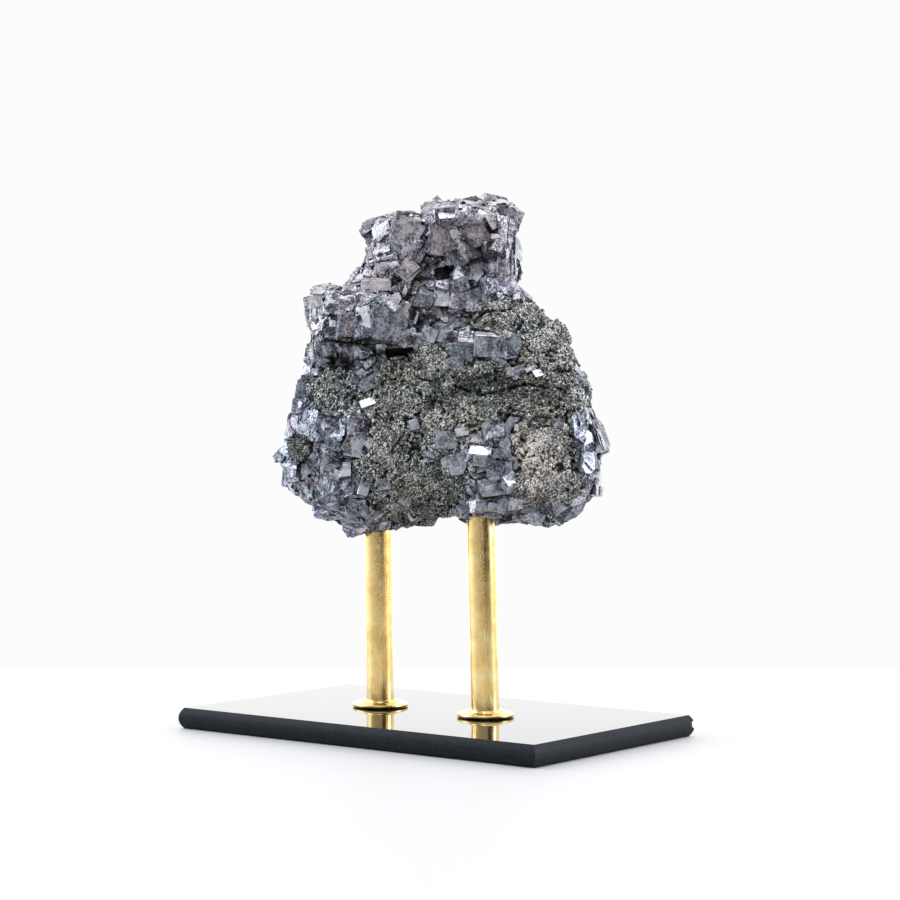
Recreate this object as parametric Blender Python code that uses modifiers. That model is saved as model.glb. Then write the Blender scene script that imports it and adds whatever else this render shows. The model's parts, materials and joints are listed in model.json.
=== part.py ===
"""A galena specimen on two brass posts, over a polished black stone base.

The origin is the middle of the base's underside. +X runs along the base's long side and
+Z is up. The specimen's broad show face is turned away from the base's front edge, so it
is modelled in its own axes (across, depth, up) and then turned with the posts.
"""

import math
import random

import bmesh
import bpy
import numpy as np
from mathutils import Euler, Matrix, Vector
from mathutils.bvhtree import BVHTree

MM = 0.001
GAP = 0.3 * MM  # clearance between pieces that touch

# Black stone base: overall size, with a convex polished edge all round.
BASE_LENGTH = 201.6 * MM
BASE_DEPTH = 123.0 * MM
BASE_THICKNESS = 9.6 * MM
EDGE_BULGE = 2.0 * MM  # how far the edge stands out past the flat top
EDGE_STEPS = 8
CHIP_RADIUS = 1.7 * MM  # small bruise at the far right corner
BASE_SOCKET_DEPTH = 6.0 * MM

# Brass posts: half-inch rod, each leaning a little as it was drilled by hand.
POST_RADIUS = 12.7 / 2 * MM
POST_SIDES = 48
POST_DEPTH_LINE = -0.4 * MM  # both feet stand on this line along the base
LEFT_POST_X = -30.8 * MM
RIGHT_POST_X = 29.8 * MM
LEFT_POST_LEAN = math.radians(0.9)
RIGHT_POST_LEAN = math.radians(1.7)
LEFT_POST_TOP = 110.7 * MM
RIGHT_POST_TOP = 116.7 * MM

# Brass flanges: a thin turned disc with a low boss round the post's foot.
FLANGE_RADIUS = 25.8 / 2 * MM
FLANGE_THICKNESS = 2.0 * MM
BOSS_RADIUS = 8.3 * MM
BOSS_HEIGHT = 1.5 * MM
FLANGE_HOLE_RADIUS = POST_RADIUS + 0.5 * MM
FLANGE_STEPS = 36

# The specimen stands midway between the posts, with its show face turned.
SHOW_TURN = math.radians(37.6)
SPECIMEN_X = (LEFT_POST_X + RIGHT_POST_X) / 2
SPECIMEN_RISE = 0.7 * MM
SHOW_EYE = (8.1, -1088.0, 148.3)  # mm: the show face is laid out as seen from here
SLANT = 0.35  # the right end stands this much nearer the eye, over the distance across
SPECIMEN_SEED = 11
LUMP_VOXEL = 2.3 * MM
LUMP_FACES_KEPT = 0.075
UNION_FACES_KEPT = 0.72


def millimetres(values):
    """A vector in metres from a triple in millimetres."""
    return Vector(values) * MM


# --------------------------------------------------------------------- scene and materials

def clear_scene():
    for item in list(bpy.data.objects):
        bpy.data.objects.remove(item, do_unlink=True)


def new_collection(name):
    made = bpy.data.collections.new(name)
    bpy.context.scene.collection.children.link(made)
    return made


def new_material(name, colour, roughness, metallic):
    material = bpy.data.materials.new(name)
    material.use_nodes = True
    shader = material.node_tree.nodes["Principled BSDF"]
    shader.inputs["Base Color"].default_value = (*colour, 1.0)
    shader.inputs["Roughness"].default_value = roughness
    shader.inputs["Metallic"].default_value = metallic
    return material


def object_from(bm, name, collection, material=None):
    """The bmesh as a new object in a collection."""
    mesh = bpy.data.meshes.new(name)
    bm.to_mesh(mesh)
    bm.free()
    made = bpy.data.objects.new(name, mesh)
    if material:
        mesh.materials.append(material)
    collection.objects.link(made)
    return made


def as_guide(item):
    """Marks a cutter or a guide, which is no piece of the object."""
    item.hide_render = True
    item.display_type = "WIRE"
    return item


def add_boolean(item, other, operation, overlapping=False):
    modifier = item.modifiers.new(f"{operation.lower()} {other.name}", "BOOLEAN")
    modifier.operation = operation
    modifier.solver = "EXACT"
    modifier.use_self = overlapping
    modifier.object = other


def shade_round(item, angle=30.0):
    item.data.shade_smooth()
    item.data.set_sharp_from_angle(angle=math.radians(angle))


# --------------------------------------------------------------------- base

def edge_offset(height):
    """How far the convex edge stands out past the flat top, at a height over the underside."""
    half = BASE_THICKNESS / 2
    radius = (half**2 + EDGE_BULGE**2) / (2 * EDGE_BULGE)
    return math.sqrt(radius**2 - (height - half) ** 2) - (radius - EDGE_BULGE)


def build_base(parts, cutters, material, posts):
    bm = bmesh.new()
    bmesh.ops.create_cube(bm, size=1.0)
    flat = (BASE_LENGTH - 2 * EDGE_BULGE, BASE_DEPTH - 2 * EDGE_BULGE, BASE_THICKNESS)
    bmesh.ops.scale(bm, vec=flat, verts=bm.verts)
    bmesh.ops.translate(bm, vec=(0, 0, BASE_THICKNESS / 2), verts=bm.verts)
    for step in range(1, EDGE_STEPS):
        bmesh.ops.bisect_plane(
            bm,
            geom=bm.verts[:] + bm.edges[:] + bm.faces[:],
            plane_co=(0, 0, BASE_THICKNESS * step / EDGE_STEPS),
            plane_no=(0, 0, 1),
        )
    for vert in bm.verts:
        offset = edge_offset(vert.co.z)
        vert.co.x += math.copysign(offset, vert.co.x)
        vert.co.y += math.copysign(offset, vert.co.y)
    base = object_from(bm, "base", parts, material)
    for name, post_place in posts.items():
        socket = post_cutter(f"{name}_base_socket", cutters, post_place, -BASE_SOCKET_DEPTH, 30 * MM)
        add_boolean(base, socket, "DIFFERENCE")
    chip = bmesh.new()
    bmesh.ops.create_icosphere(chip, subdivisions=1, radius=CHIP_RADIUS)
    corner = (BASE_LENGTH / 2 + 0.2 * MM, BASE_DEPTH / 2 + 0.2 * MM, BASE_THICKNESS * 0.56)
    bmesh.ops.translate(chip, vec=corner, verts=chip.verts)
    add_boolean(base, as_guide(object_from(chip, "chip", cutters)), "DIFFERENCE")
    shade_round(base)
    return base


# --------------------------------------------------------------------- posts and flanges

def post_places():
    """Each post's foot on the base's top, with its lean, as a matrix."""
    feet = {
        "left_post": (LEFT_POST_X, LEFT_POST_LEAN),
        "right_post": (RIGHT_POST_X, RIGHT_POST_LEAN),
    }
    return {
        name: Matrix.Translation((x, POST_DEPTH_LINE, BASE_THICKNESS))
        @ Matrix.Rotation(-lean, 4, "Y")
        for name, (x, lean) in feet.items()
    }


def add_rod(bm, radius, low, high):
    """A closed upright cylinder between two heights."""
    bmesh.ops.create_cone(
        bm,
        cap_ends=True,
        segments=POST_SIDES,
        radius1=radius,
        radius2=radius,
        depth=high - low,
        matrix=Matrix.Translation((0, 0, (low + high) / 2)),
    )


def post_cutter(name, cutters, place, low, high):
    bm = bmesh.new()
    add_rod(bm, POST_RADIUS + GAP, low, high)
    cutter = as_guide(object_from(bm, name, cutters))
    cutter.matrix_world = place
    return cutter


def build_post(name, parts, material, place, top):
    """A plain rod from its socket in the base to its socket in the specimen."""
    bm = bmesh.new()
    add_rod(bm, POST_RADIUS, -BASE_SOCKET_DEPTH + GAP, top - BASE_THICKNESS - GAP)
    post = object_from(bm, name, parts, material)
    post.matrix_world = place
    shade_round(post)
    return post


def flange_profile():
    """The turned section, outer side from top to bottom, then back up the hole."""
    boss_round = 0.6 * MM
    rim = FLANGE_THICKNESS / 2
    top = FLANGE_THICKNESS + BOSS_HEIGHT
    points = [(FLANGE_HOLE_RADIUS, top), (BOSS_RADIUS - boss_round, top)]
    points += [(BOSS_RADIUS, top - boss_round), (BOSS_RADIUS, FLANGE_THICKNESS)]
    for step in range(5):
        turn = math.pi / 2 - math.pi * step / 4
        out = FLANGE_RADIUS - rim * 0.6 + rim * 0.6 * math.cos(turn)
        points.append((out, rim + rim * math.sin(turn)))
    points.append((FLANGE_HOLE_RADIUS, 0))
    return points


def build_flange(name, parts, material, x):
    profile = [(radius, 0, height) for radius, height in flange_profile()]
    count = len(profile)
    edges = [(i, (i + 1) % count) for i in range(count)]
    mesh = bpy.data.meshes.new(name)
    mesh.from_pydata(profile, edges, [])
    mesh.materials.append(material)
    flange = bpy.data.objects.new(name, mesh)
    parts.objects.link(flange)
    screw = flange.modifiers.new("turned", "SCREW")
    screw.steps = screw.render_steps = FLANGE_STEPS
    screw.use_merge_vertices = True
    screw.merge_threshold = 0.01 * MM
    screw.use_smooth_shade = True
    flange.location = (x, POST_DEPTH_LINE, BASE_THICKNESS + GAP)
    return flange


# --------------------------------------------------------------------- specimen: the lump

# Level sections through the body: height, left and right ends across, front and back, in mm.
SECTIONS = (
    (99, -43, 54, -21, 19),
    (102, -49, 61, -27, 25),
    (106, -57, 70, -32, 31),
    (110, -63, 73.5, -36, 34),
    (120, -66.5, 75.5, -40, 40),
    (132, -65, 75.5, -41, 41),
    (144, -62.5, 73.5, -39, 40),
    (156, -57.5, 69.5, -36, 38),
    (166, -55.5, 65, -33, 36),
    (176, -54.5, 59.5, -30, 33),
    (184, -53, 53.5, -28, 31),
    (192, -51.5, 47, -27, 29),
    (198, -44, 40, -25, 27),
    (206, -31, 33, -21, 24),
)
SECTION_POINTS = 36
SECTION_SQUARENESS = 2.5  # 2 is an ellipse, 4 is a rounded rectangle

# Blocks that stand out of the body: middle and half sizes as (across, depth, up) in mm, the
# tilt in the show plane in degrees, and the squareness.
BLOCKS = (
    ((17.6, 0, 217.5), (18.3, 23, 20.8), -1, 4.6),  # crown, right block
    ((29, 2, 232.5), (9, 15, 6.5), 0, 4.0),  # crown, ledge at the top right
    ((-11, -1, 214.5), (15.5, 21, 17.5), 4, 3.8),  # crown, left block
    ((-33, -12, 187), (20.3, 20.5, 13.8), 1, 3.8),  # left shoulder block
    ((-2, 2, 200), (33, 24, 12), -4, 2.8),  # neck
    ((26, -14, 122), (34, 28, 23), 0, 2.3),  # belly, right
    ((-28, -10, 120), (31, 28, 23), 0, 2.3),  # belly, left
    ((14, -6, 172), (30, 26, 13), 12, 2.6),  # bench of the galena row
    ((-26, 2, 104), (21, 19, 12), 0, 2.4),  # left foot
    ((47, -2, 106), (16, 19, 11.5), 0, 2.4),  # right foot
)


def on_sight_line(across, depth, up):
    """The point at this depth that the eye sees at (across, up) on the show plane."""
    eye = Vector(SHOW_EYE)
    aim = Vector((across, 0, up)) - eye
    return (eye + aim * ((depth - eye.y) / -eye.y)) * MM


def slanted(across, depth, up):
    return on_sight_line(across, depth - SLANT * across, up)


def add_sections(bm):
    """The body as one closed skin over the level sections."""
    rings = []
    for up, left, right, front, back in SECTIONS:
        ring = []
        for step in range(SECTION_POINTS):
            turn = math.tau * step / SECTION_POINTS
            side, face = math.cos(turn), math.sin(turn)
            power = abs(side) ** SECTION_SQUARENESS + abs(face) ** SECTION_SQUARENESS
            reach = power ** (-1 / SECTION_SQUARENESS)
            across = (left + right) / 2 + (right - left) / 2 * side * reach
            depth = (front + back) / 2 + (back - front) / 2 * face * reach
            ring.append(bm.verts.new(slanted(across, depth, up)))
        rings.append(ring)
    bm.faces.new(rings[0][::-1])
    bm.faces.new(rings[-1])
    for low, high in zip(rings, rings[1:]):
        for step in range(SECTION_POINTS):
            after = (step + 1) % SECTION_POINTS
            bm.faces.new((low[step], low[after], high[after], high[step]))


def add_block(bm, middle, halves, tilt, squareness):
    turn = Matrix.Rotation(-math.radians(tilt), 3, "Y")
    for vert in bmesh.ops.create_icosphere(bm, subdivisions=4, radius=1.0)["verts"]:
        power = sum(abs(side) ** squareness for side in vert.co)
        on_block = vert.co * power ** (-1 / squareness)
        local = turn @ Vector(side * half for side, half in zip(on_block, halves))
        vert.co = slanted(*(local + Vector(middle)))


def add_displace(item, name, kind, scale, strength):
    """Pushes the surface in and out by one of Blender's own noise textures."""
    texture = bpy.data.textures.new(name, type=kind)
    texture.noise_scale = scale
    modifier = item.modifiers.new(name, "DISPLACE")
    modifier.texture = texture
    modifier.texture_coords = "LOCAL"
    modifier.strength = strength
    modifier.mid_level = 0.5


def add_remesh(item):
    remesh = item.modifiers.new("grown together", "REMESH")
    remesh.mode = "VOXEL"
    remesh.voxel_size = LUMP_VOXEL


def evaluated_mesh(item):
    bpy.context.view_layer.update()
    graph = bpy.context.evaluated_depsgraph_get()
    return bpy.data.meshes.new_from_object(item.evaluated_get(graph))


def flatten_to_facets(mesh):
    """Draws the skin onto flat facets, each with its own tilt, as intergrown crystals show.

    Each point goes to the facet whose cube it is deepest in, so the facets come out square.
    """
    chance = random.Random(SPECIMEN_SEED)
    points = np.array([vert.co for vert in mesh.vertices]) / MM
    normals = np.array([vert.normal for vert in mesh.vertices])
    free = np.ones(len(points), bool)
    deepest = np.full(len(points), np.inf)
    target = points.copy()
    while free.any():
        index = chance.choice(np.flatnonzero(free))
        middle = points[index]
        size = FACET_EDGE[0] + (FACET_EDGE[1] - FACET_EDGE[0]) * chance.random() ** 1.5
        free &= np.linalg.norm(points - middle, axis=1) > FACET_SPACING * size
        turn = np.array(facing(Vector(normals[index]), chance, FACET_TILT).to_3x3())
        inside = np.abs((points - middle) @ turn).max(axis=1) / size
        nearer = inside < deepest
        deepest[nearer] = inside[nearer]
        plane = turn[:, 2]
        drop = (middle - points[nearer]) @ plane + chance.uniform(-0.8, 1.2)
        target[nearer] = points[nearer] + np.clip(drop, -3.5, 3.5)[:, None] * plane
    for vert, old, new in zip(mesh.vertices, points, target):
        share = MATRIX_FLATNESS if in_matrix(vert.co) else 1.0
        vert.co = Vector(old + (new - old) * share) * MM


def build_lump(cutters):
    """The body and its blocks grown together into one faceted lump, in the specimen's axes."""
    bm = bmesh.new()
    add_sections(bm)
    for block in BLOCKS:
        add_block(bm, *block)
    guide = as_guide(object_from(bm, "body_and_blocks", cutters))
    add_remesh(guide)
    add_displace(guide, "swells", "CLOUDS", 24 * MM, 5.0 * MM)
    add_displace(guide, "knobs", "VORONOI", 9 * MM, 2.4 * MM)
    mesh = evaluated_mesh(guide)
    flatten_to_facets(mesh)
    faceted = as_guide(bpy.data.objects.new("faceted_lump", mesh))
    cutters.objects.link(faceted)
    add_remesh(faceted)
    decimate = faceted.modifiers.new("coarse faces", "DECIMATE")
    decimate.ratio = LUMP_FACES_KEPT
    return evaluated_mesh(faceted)


# --------------------------------------------------------------------- specimen: the crystals

# Crystals on the show face: where the middle of the front face lies (across, up), its width
# and height, all in mm; then how the face is turned, in degrees: yaw (+ looks to the right),
# pitch (+ looks up) and roll; how far it stands proud of the lump in mm; and how much of
# each corner the octahedron cuts off, as a share of the shorter side.
SHOW_CRYSTALS = (
    # crown
    (4.6, 224, 10, 15, 10, 4, 6, 3.0, 0.22),
    (-0.7, 237, 9, 10, -14, 10, 8, 2.0, 0.20),
    (7.5, 235, 10, 8, 6, 38, -8, 2.5, 0.0),
    (17.5, 218, 10, 9, 16, 24, -22, 2.5, 0.16),
    (-10, 228, 11, 10, -6, 14, -12, 1.5, 0.30),
    (-15.5, 220, 11, 11, -26, -4, 16, 2.5, 0.18),
    (-4.5, 217, 9, 10, 24, -22, 6, 1.5, 0.0),
    (-11, 209, 9, 9, 8, 12, 44, 4.0, 0.0),
    (-22.5, 228, 10, 9, -34, 22, 10, 1.5, 0.16),
    (-26, 216, 8, 10, -46, 4, -10, 1.5, 0.16),
    (-20, 211, 12, 6, -18, -16, -14, 2.5, 0.0),
    (0, 215.5, 4.5, 4, 26, 30, 30, 3.0, 0.0),
    (24, 228, 11, 11, 30, 12, 18, 1.5, 0.22),
    (29, 218, 9, 10, 22, -12, -16, 1.5, 0.16),
    (26, 238, 12, 7, 12, 46, 6, 1.0, 0.16),
    (34, 227, 9, 12, 48, 2, 10, 1.0, 0.18),
    # between the crown and the shoulder
    (11.8, 207.5, 5.5, 6, -24, 16, 34, 3.0, 0.0),
    (4.5, 202.5, 5.5, 5, 14, 34, 18, 3.5, 0.0),
    (12.7, 201, 7, 5.5, 6, -6, 12, 3.0, 0.0),
    (-3.2, 196, 8, 7.5, -16, 8, 22, 5.5, 0.0),
    (-24.5, 202.5, 13, 6.5, -10, 10, 6, 4.0, 0.0),
    (16, 195, 15, 10, 12, 20, 14, 2.0, 0.0),
    (-16.5, 194, 7, 6, 18, 30, -34, 4.0, 0.0),
    (-12.5, 199.5, 4, 7, 34, 4, -24, 4.0, 0.0),
    (0.5, 189.5, 8, 6.5, 16, 14, -20, 3.0, 0.0),
    (-8.5, 188, 5, 6, -30, 10, 14, 2.0, 0.0),
    (28, 203, 8, 8, 34, 10, -14, 1.5, 0.18),
    # left shoulder
    (-18.5, 184, 15, 15, 14, 4, 8, 4.0, 0.16),
    (-31, 184.5, 9, 13, -20, 18, -16, 3.5, 0.0),
    (-38.5, 183, 8, 12, 26, -10, 6, 2.0, 0.0),
    (-45.5, 182, 10, 9, -24, 8, 10, 2.5, 0.16),
    (-52, 187, 8, 10, -46, 14, -8, 1.5, 0.20),
    (-42, 194, 15, 11, -18, 30, 12, 0.5, 0.30),
    (12, 173.4, 12, 11, -8, 6, -4, 1.5, 0.0),
    (-8, 176.5, 6.5, 5.5, 6, 2, -4, 4.5, 0.0),
    (-47, 173.5, 8.5, 6, -16, -6, 4, 1.5, 0.0),
    (-38, 171.5, 7.5, 7, 10, 4, -6, 1.5, 0.0),
    (-29.5, 173, 6, 4.5, -14, 16, 20, 1.5, 0.0),
    # left flank
    (-55.5, 165.5, 7, 10, -44, 10, -14, 2.0, 0.0),
    (-58.5, 156, 6, 11, -40, 26, -34, 1.5, 0.0),
    (-60, 146.5, 9, 11, -32, -4, 12, 2.0, 0.24),
    (-30.5, 159, 5.5, 11, 14, 10, -34, 1.5, 0.0),
    (-29.6, 149.5, 8.5, 4.5, -18, 22, 32, 1.5, 0.0),
    (-48, 139, 10, 8, -20, -14, 16, 1.5, 0.0),
    # right of the middle
    (24.5, 174.5, 11, 8.5, 6, -6, 4, 3.0, 0.0),
    (18, 178.5, 12, 6, -4, 44, 6, 2.0, 0.0),
    (36.5, 174.5, 8.5, 10.5, 36, -2, 2, 3.0, 0.0),
    (9, 168.5, 10, 9, -10, 22, -28, 1.5, 0.0),
    (60, 163, 11, 5.5, 26, 26, -20, 1.0, 0.0),
    (72, 149, 9, 13, 42, 6, -14, 1.0, 0.22),
    (66, 143, 9, 8, 30, -8, 16, 1.0, 0.16),
    # lower left
    (-58.3, 117, 7, 7.5, 45, 6, 4, 3.0, 0.0),
    (-66, 115, 7, 9, -48, 2, 6, 1.0, 0.0),
    (-44.5, 132, 8.5, 10, -16, 12, -6, 2.0, 0.0),
    (-45.5, 122.5, 9, 9, 4, 4, 10, 2.0, 0.20),
    (-41.4, 120, 4.5, 4, -20, 30, 28, 3.0, 0.0),
    (-44.5, 108.5, 10, 8.5, -18, 20, -8, 2.5, 0.0),
    (-35.5, 130, 8, 9, 20, 14, 30, 1.5, 0.16),
    (-33.5, 141.5, 5, 9, -24, 6, -20, 2.0, 0.0),
    (-55, 107, 9, 7, -28, -14, 14, 1.5, 0.18),
    (-24.5, 95.5, 12, 10, 4, -26, 4, 1.0, 0.26),
    (-9.6, 100, 5, 9, -16, -8, -28, 2.0, 0.0),
    (-9, 138, 13, 8, 6, 18, 32, 0.8, 0.34),
    # lower middle
    (31, 118, 10.5, 7.5, 8, -4, -6, 3.0, 0.0),
    (22, 127, 9.5, 4, -14, 34, -4, 3.0, 0.0),
    (36, 115, 8, 6, -16, 30, 34, 4.0, 0.0),
    (22, 121.5, 8.5, 7.5, -8, 14, -16, 2.5, 0.0),
    (12.7, 120.5, 10, 10, -22, 10, 12, 2.0, 0.20),
    (19.5, 131, 7, 5.5, 12, 20, -30, 1.5, 0.0),
    (29.5, 128, 7, 8, 22, 2, 8, 1.5, 0.0),
    (25.5, 111.8, 8.5, 6.5, 14, -10, -14, 2.5, 0.0),
    (41.5, 114, 11, 11, 18, 16, 10, 1.5, 0.26),
    (27.5, 106, 12, 8, -10, 16, 8, 2.5, 0.0),
    (37, 103.5, 8, 6.5, 10, -18, -8, 2.0, 0.0),
    (35, 98.5, 11, 6.5, 12, 8, -14, 1.5, 0.0),
    (46, 98.5, 11, 10, 8, -14, 20, 1.0, 0.30),
    (13.7, 101.5, 8.5, 7, -20, 4, 30, 1.5, 0.0),
    (4, 127, 7, 8, -8, -16, -20, 1.0, 0.22),
    # right flank
    (71, 122, 8, 9, 44, 6, 10, 0.8, 0.26),
    (66, 106, 9, 7, 36, -12, -12, 0.8, 0.20),
)

# Where the fine-grained matrix shows and no large crystal grows, as ellipses on the show
# plane: middle (across, up) and half sizes in mm, for the front of the lump and its back.
MATRIX_FRONT = (
    (5, 153, 42, 15.5),
    (-9.5, 121, 24, 27),
    (34, 187, 18, 8.5),
    (54, 175, 16, 11),
    (48, 152, 23, 11),
    (51, 123, 15, 22),
    (-43.5, 155, 11, 12),
    (-1, 170, 9, 7),
)
MATRIX_BACK = (
    (-8, 132, 26, 20),
    (32, 172, 22, 13),
    (50, 120, 16, 17),
    (6, 208, 11, 9),
)
MATRIX_FLATNESS = 0.35  # how much of the facets' flattening shows there
FACET_EDGE = (3.5, 8.0)  # mm, half the side of a facet's cube
FACET_SPACING = 1.1
FACET_TILT = 24.0
FILL_COUNT = 95
FILL_EDGE = (7.0, 14.0)  # mm
FILL_TRIES = 6000
FILL_TILT = 26.0
FILL_PROUD = 0.10  # of the edge
FILL_SPACING = 0.5  # of the two edges' sum


def facing(normal, chance, most_tilt):
    """A matrix whose Z leans up to so many degrees off a direction, spun at random."""
    straight = normal.to_track_quat("Z", "Y").to_matrix().to_4x4()
    lean = Matrix.Rotation(math.radians(most_tilt) * chance.random(), 4, "X")
    around = Matrix.Rotation(chance.uniform(0, math.tau), 4, "Z")
    spin = Matrix.Rotation(chance.uniform(0, math.tau), 4, "Z")
    return straight @ around @ lean @ spin


def add_crystal(bm, sides, place, corner_cut):
    """A cube of the cubic system, its corners cut by the octahedron."""
    one = bmesh.new()
    bmesh.ops.create_cube(one, size=1.0)
    bmesh.ops.scale(one, vec=sides, verts=one.verts)
    if corner_cut:
        offset = corner_cut * min(sides)
        bmesh.ops.bevel(one, geom=one.verts[:], offset=offset, segments=1, affect="VERTICES")
    one.transform(place)
    mesh = bpy.data.meshes.new("crystal")
    one.to_mesh(mesh)
    one.free()
    bm.from_mesh(mesh)
    bpy.data.meshes.remove(mesh)


def show_point(surface, across, up):
    """Where the line of sight to (across, up) on the show plane meets the lump."""
    eye = millimetres(SHOW_EYE)
    aim = millimetres((across, 0, up)) - eye
    hit = surface.ray_cast(eye, aim.normalized())[0]
    return hit or surface.find_nearest(millimetres((across, 0, up)))[0]


def add_show_crystals(bm, surface, taken):
    for across, up, wide, tall, yaw, pitch, roll, proud, corner_cut in SHOW_CRYSTALS:
        hit = show_point(surface, across, up)
        thick = (wide + tall) / 2
        turn = Euler([math.radians(angle) for angle in (-pitch, roll, yaw)], "YXZ")
        place = Matrix.Translation(hit - millimetres((0, proud, 0))) @ turn.to_matrix().to_4x4()
        place @= Matrix.Translation(millimetres((0, thick / 2, 0)))
        add_crystal(bm, millimetres((wide, thick, tall)), place, corner_cut)
        taken.append((hit, (wide + tall) / 2 * MM))


def in_matrix(point):
    local = point / MM
    eye = Vector(SHOW_EYE)
    seen = eye + (local - eye) * (-eye.y / (local.y - eye.y))
    patches = MATRIX_FRONT if local.y < -SLANT * local.x else MATRIX_BACK
    return any(
        ((seen.x - across) / wide) ** 2 + ((seen.z - up) / tall) ** 2 < 1
        for across, up, wide, tall in patches
    )


def add_fill_crystals(bm, lump, taken):
    """Crystals over the rest of the lump, the large ones first, none too near another."""
    chance = random.Random(SPECIMEN_SEED)
    lump.calc_loop_triangles()
    triangles = [[lump.vertices[v].co.copy() for v in tri.vertices] for tri in lump.loop_triangles]
    areas = [tri.area for tri in lump.loop_triangles]
    placed = 0
    for attempt in range(FILL_TRIES):
        if placed == FILL_COUNT:
            break
        index = chance.choices(range(len(triangles)), weights=areas)[0]
        first, second = sorted((chance.random(), chance.random()))
        a, b, c = triangles[index]
        point = a * first + b * (second - first) + c * (1 - second)
        shrink = 1 - attempt / FILL_TRIES
        edge = (FILL_EDGE[0] + (FILL_EDGE[1] - FILL_EDGE[0]) * shrink * chance.uniform(0.5, 1.0)) * MM
        crowded = any((point - other).length < FILL_SPACING * (edge + size) for other, size in taken)
        if crowded or in_matrix(point):
            continue
        normal = lump.loop_triangles[index].normal
        sides = [edge * chance.uniform(0.75, 1.15) for _ in range(3)]
        sunk = sides[2] / 2 - FILL_PROUD * edge
        place = Matrix.Translation(point - normal * sunk) @ facing(normal, chance, FILL_TILT)
        add_crystal(bm, sides, place, chance.choice((0.0, 0.0, 0.0, 0.24)))
        taken.append((point, edge))
        placed += 1


# Hollows cut in the show face: middle (across, up), width and height, how deep, and roll.
SHOW_HOLLOWS = (
    (-13.5, 172.6, 15, 4.6, 12, 8),  # dark slot under the left shoulder
    (-36, 177.2, 26, 2.6, 7, -2),  # the ledge's shadow line
    (6, 208, 9, 5.5, 7, 14),  # cavity under the crown
    (65, 149.5, 4.6, 3.2, 6, 4),  # square hole, right flank
    (27, 187.5, 13, 1.0, 5, 24),  # crack over the right slope
)


def add_hollows(specimen, surface, cutters):
    for number, (across, up, wide, tall, deep, roll) in enumerate(SHOW_HOLLOWS):
        hit = show_point(surface, across, up)
        bm = bmesh.new()
        bmesh.ops.create_cube(bm, size=1.0)
        bmesh.ops.scale(bm, vec=millimetres((wide, 2 * deep, tall)), verts=bm.verts)
        place = Matrix.Translation(hit) @ Matrix.Rotation(-math.radians(roll), 4, "Y")
        bm.transform(place)
        cutter = as_guide(object_from(bm, f"hollow_{number + 1}", cutters))
        cutter.matrix_world = specimen.matrix_world
        add_boolean(specimen, cutter, "DIFFERENCE")


def build_specimen(parts, cutters, material, posts):
    lump = build_lump(cutters)
    bm = bmesh.new()
    bm.from_mesh(lump)
    surface = BVHTree.FromBMesh(bm)
    specimen = object_from(bm, "galena_specimen", parts, material)
    specimen.matrix_world = Matrix.Translation((SPECIMEN_X, POST_DEPTH_LINE, SPECIMEN_RISE)) @ Matrix.Rotation(
        SHOW_TURN, 4, "Z"
    )
    taken = []
    crystals = bmesh.new()
    add_show_crystals(crystals, surface, taken)
    add_fill_crystals(crystals, lump, taken)
    cluster = as_guide(object_from(crystals, "crystals", cutters))
    cluster.matrix_world = specimen.matrix_world
    add_boolean(specimen, cluster, "UNION", overlapping=True)
    add_hollows(specimen, surface, cutters)
    decimate = specimen.modifiers.new("slivers merged", "DECIMATE")
    decimate.ratio = UNION_FACES_KEPT
    tops = {"left_post": LEFT_POST_TOP, "right_post": RIGHT_POST_TOP}
    for name, place in posts.items():
        socket = post_cutter(f"{name}_top_socket", cutters, place, 20 * MM, tops[name] - BASE_THICKNESS)
        add_boolean(specimen, socket, "DIFFERENCE")
    return specimen


# --------------------------------------------------------------------- the object

clear_scene()
parts = new_collection("galena specimen")
cutters = new_collection("cutters")
stone = new_material("black_stone", (0.010, 0.014, 0.018), 0.12, 0.0)
brass = new_material("brass", (0.72, 0.51, 0.22), 0.22, 1.0)
ore = new_material("galena", (0.10, 0.105, 0.115), 0.35, 0.8)

posts = post_places()
build_base(parts, cutters, stone, posts)
build_post("left_post", parts, brass, posts["left_post"], LEFT_POST_TOP)
build_post("right_post", parts, brass, posts["right_post"], RIGHT_POST_TOP)
build_flange("left_flange", parts, brass, LEFT_POST_X)
build_flange("right_flange", parts, brass, RIGHT_POST_X)
build_specimen(parts, cutters, ore, posts)
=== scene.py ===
"""A galena specimen on two brass posts, over a polished black stone base, dressed for show."""

import json
import math
import random

import bmesh
import bpy
import numpy as np
from mathutils import Matrix, Vector, noise
from mathutils.bvhtree import BVHTree

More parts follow.
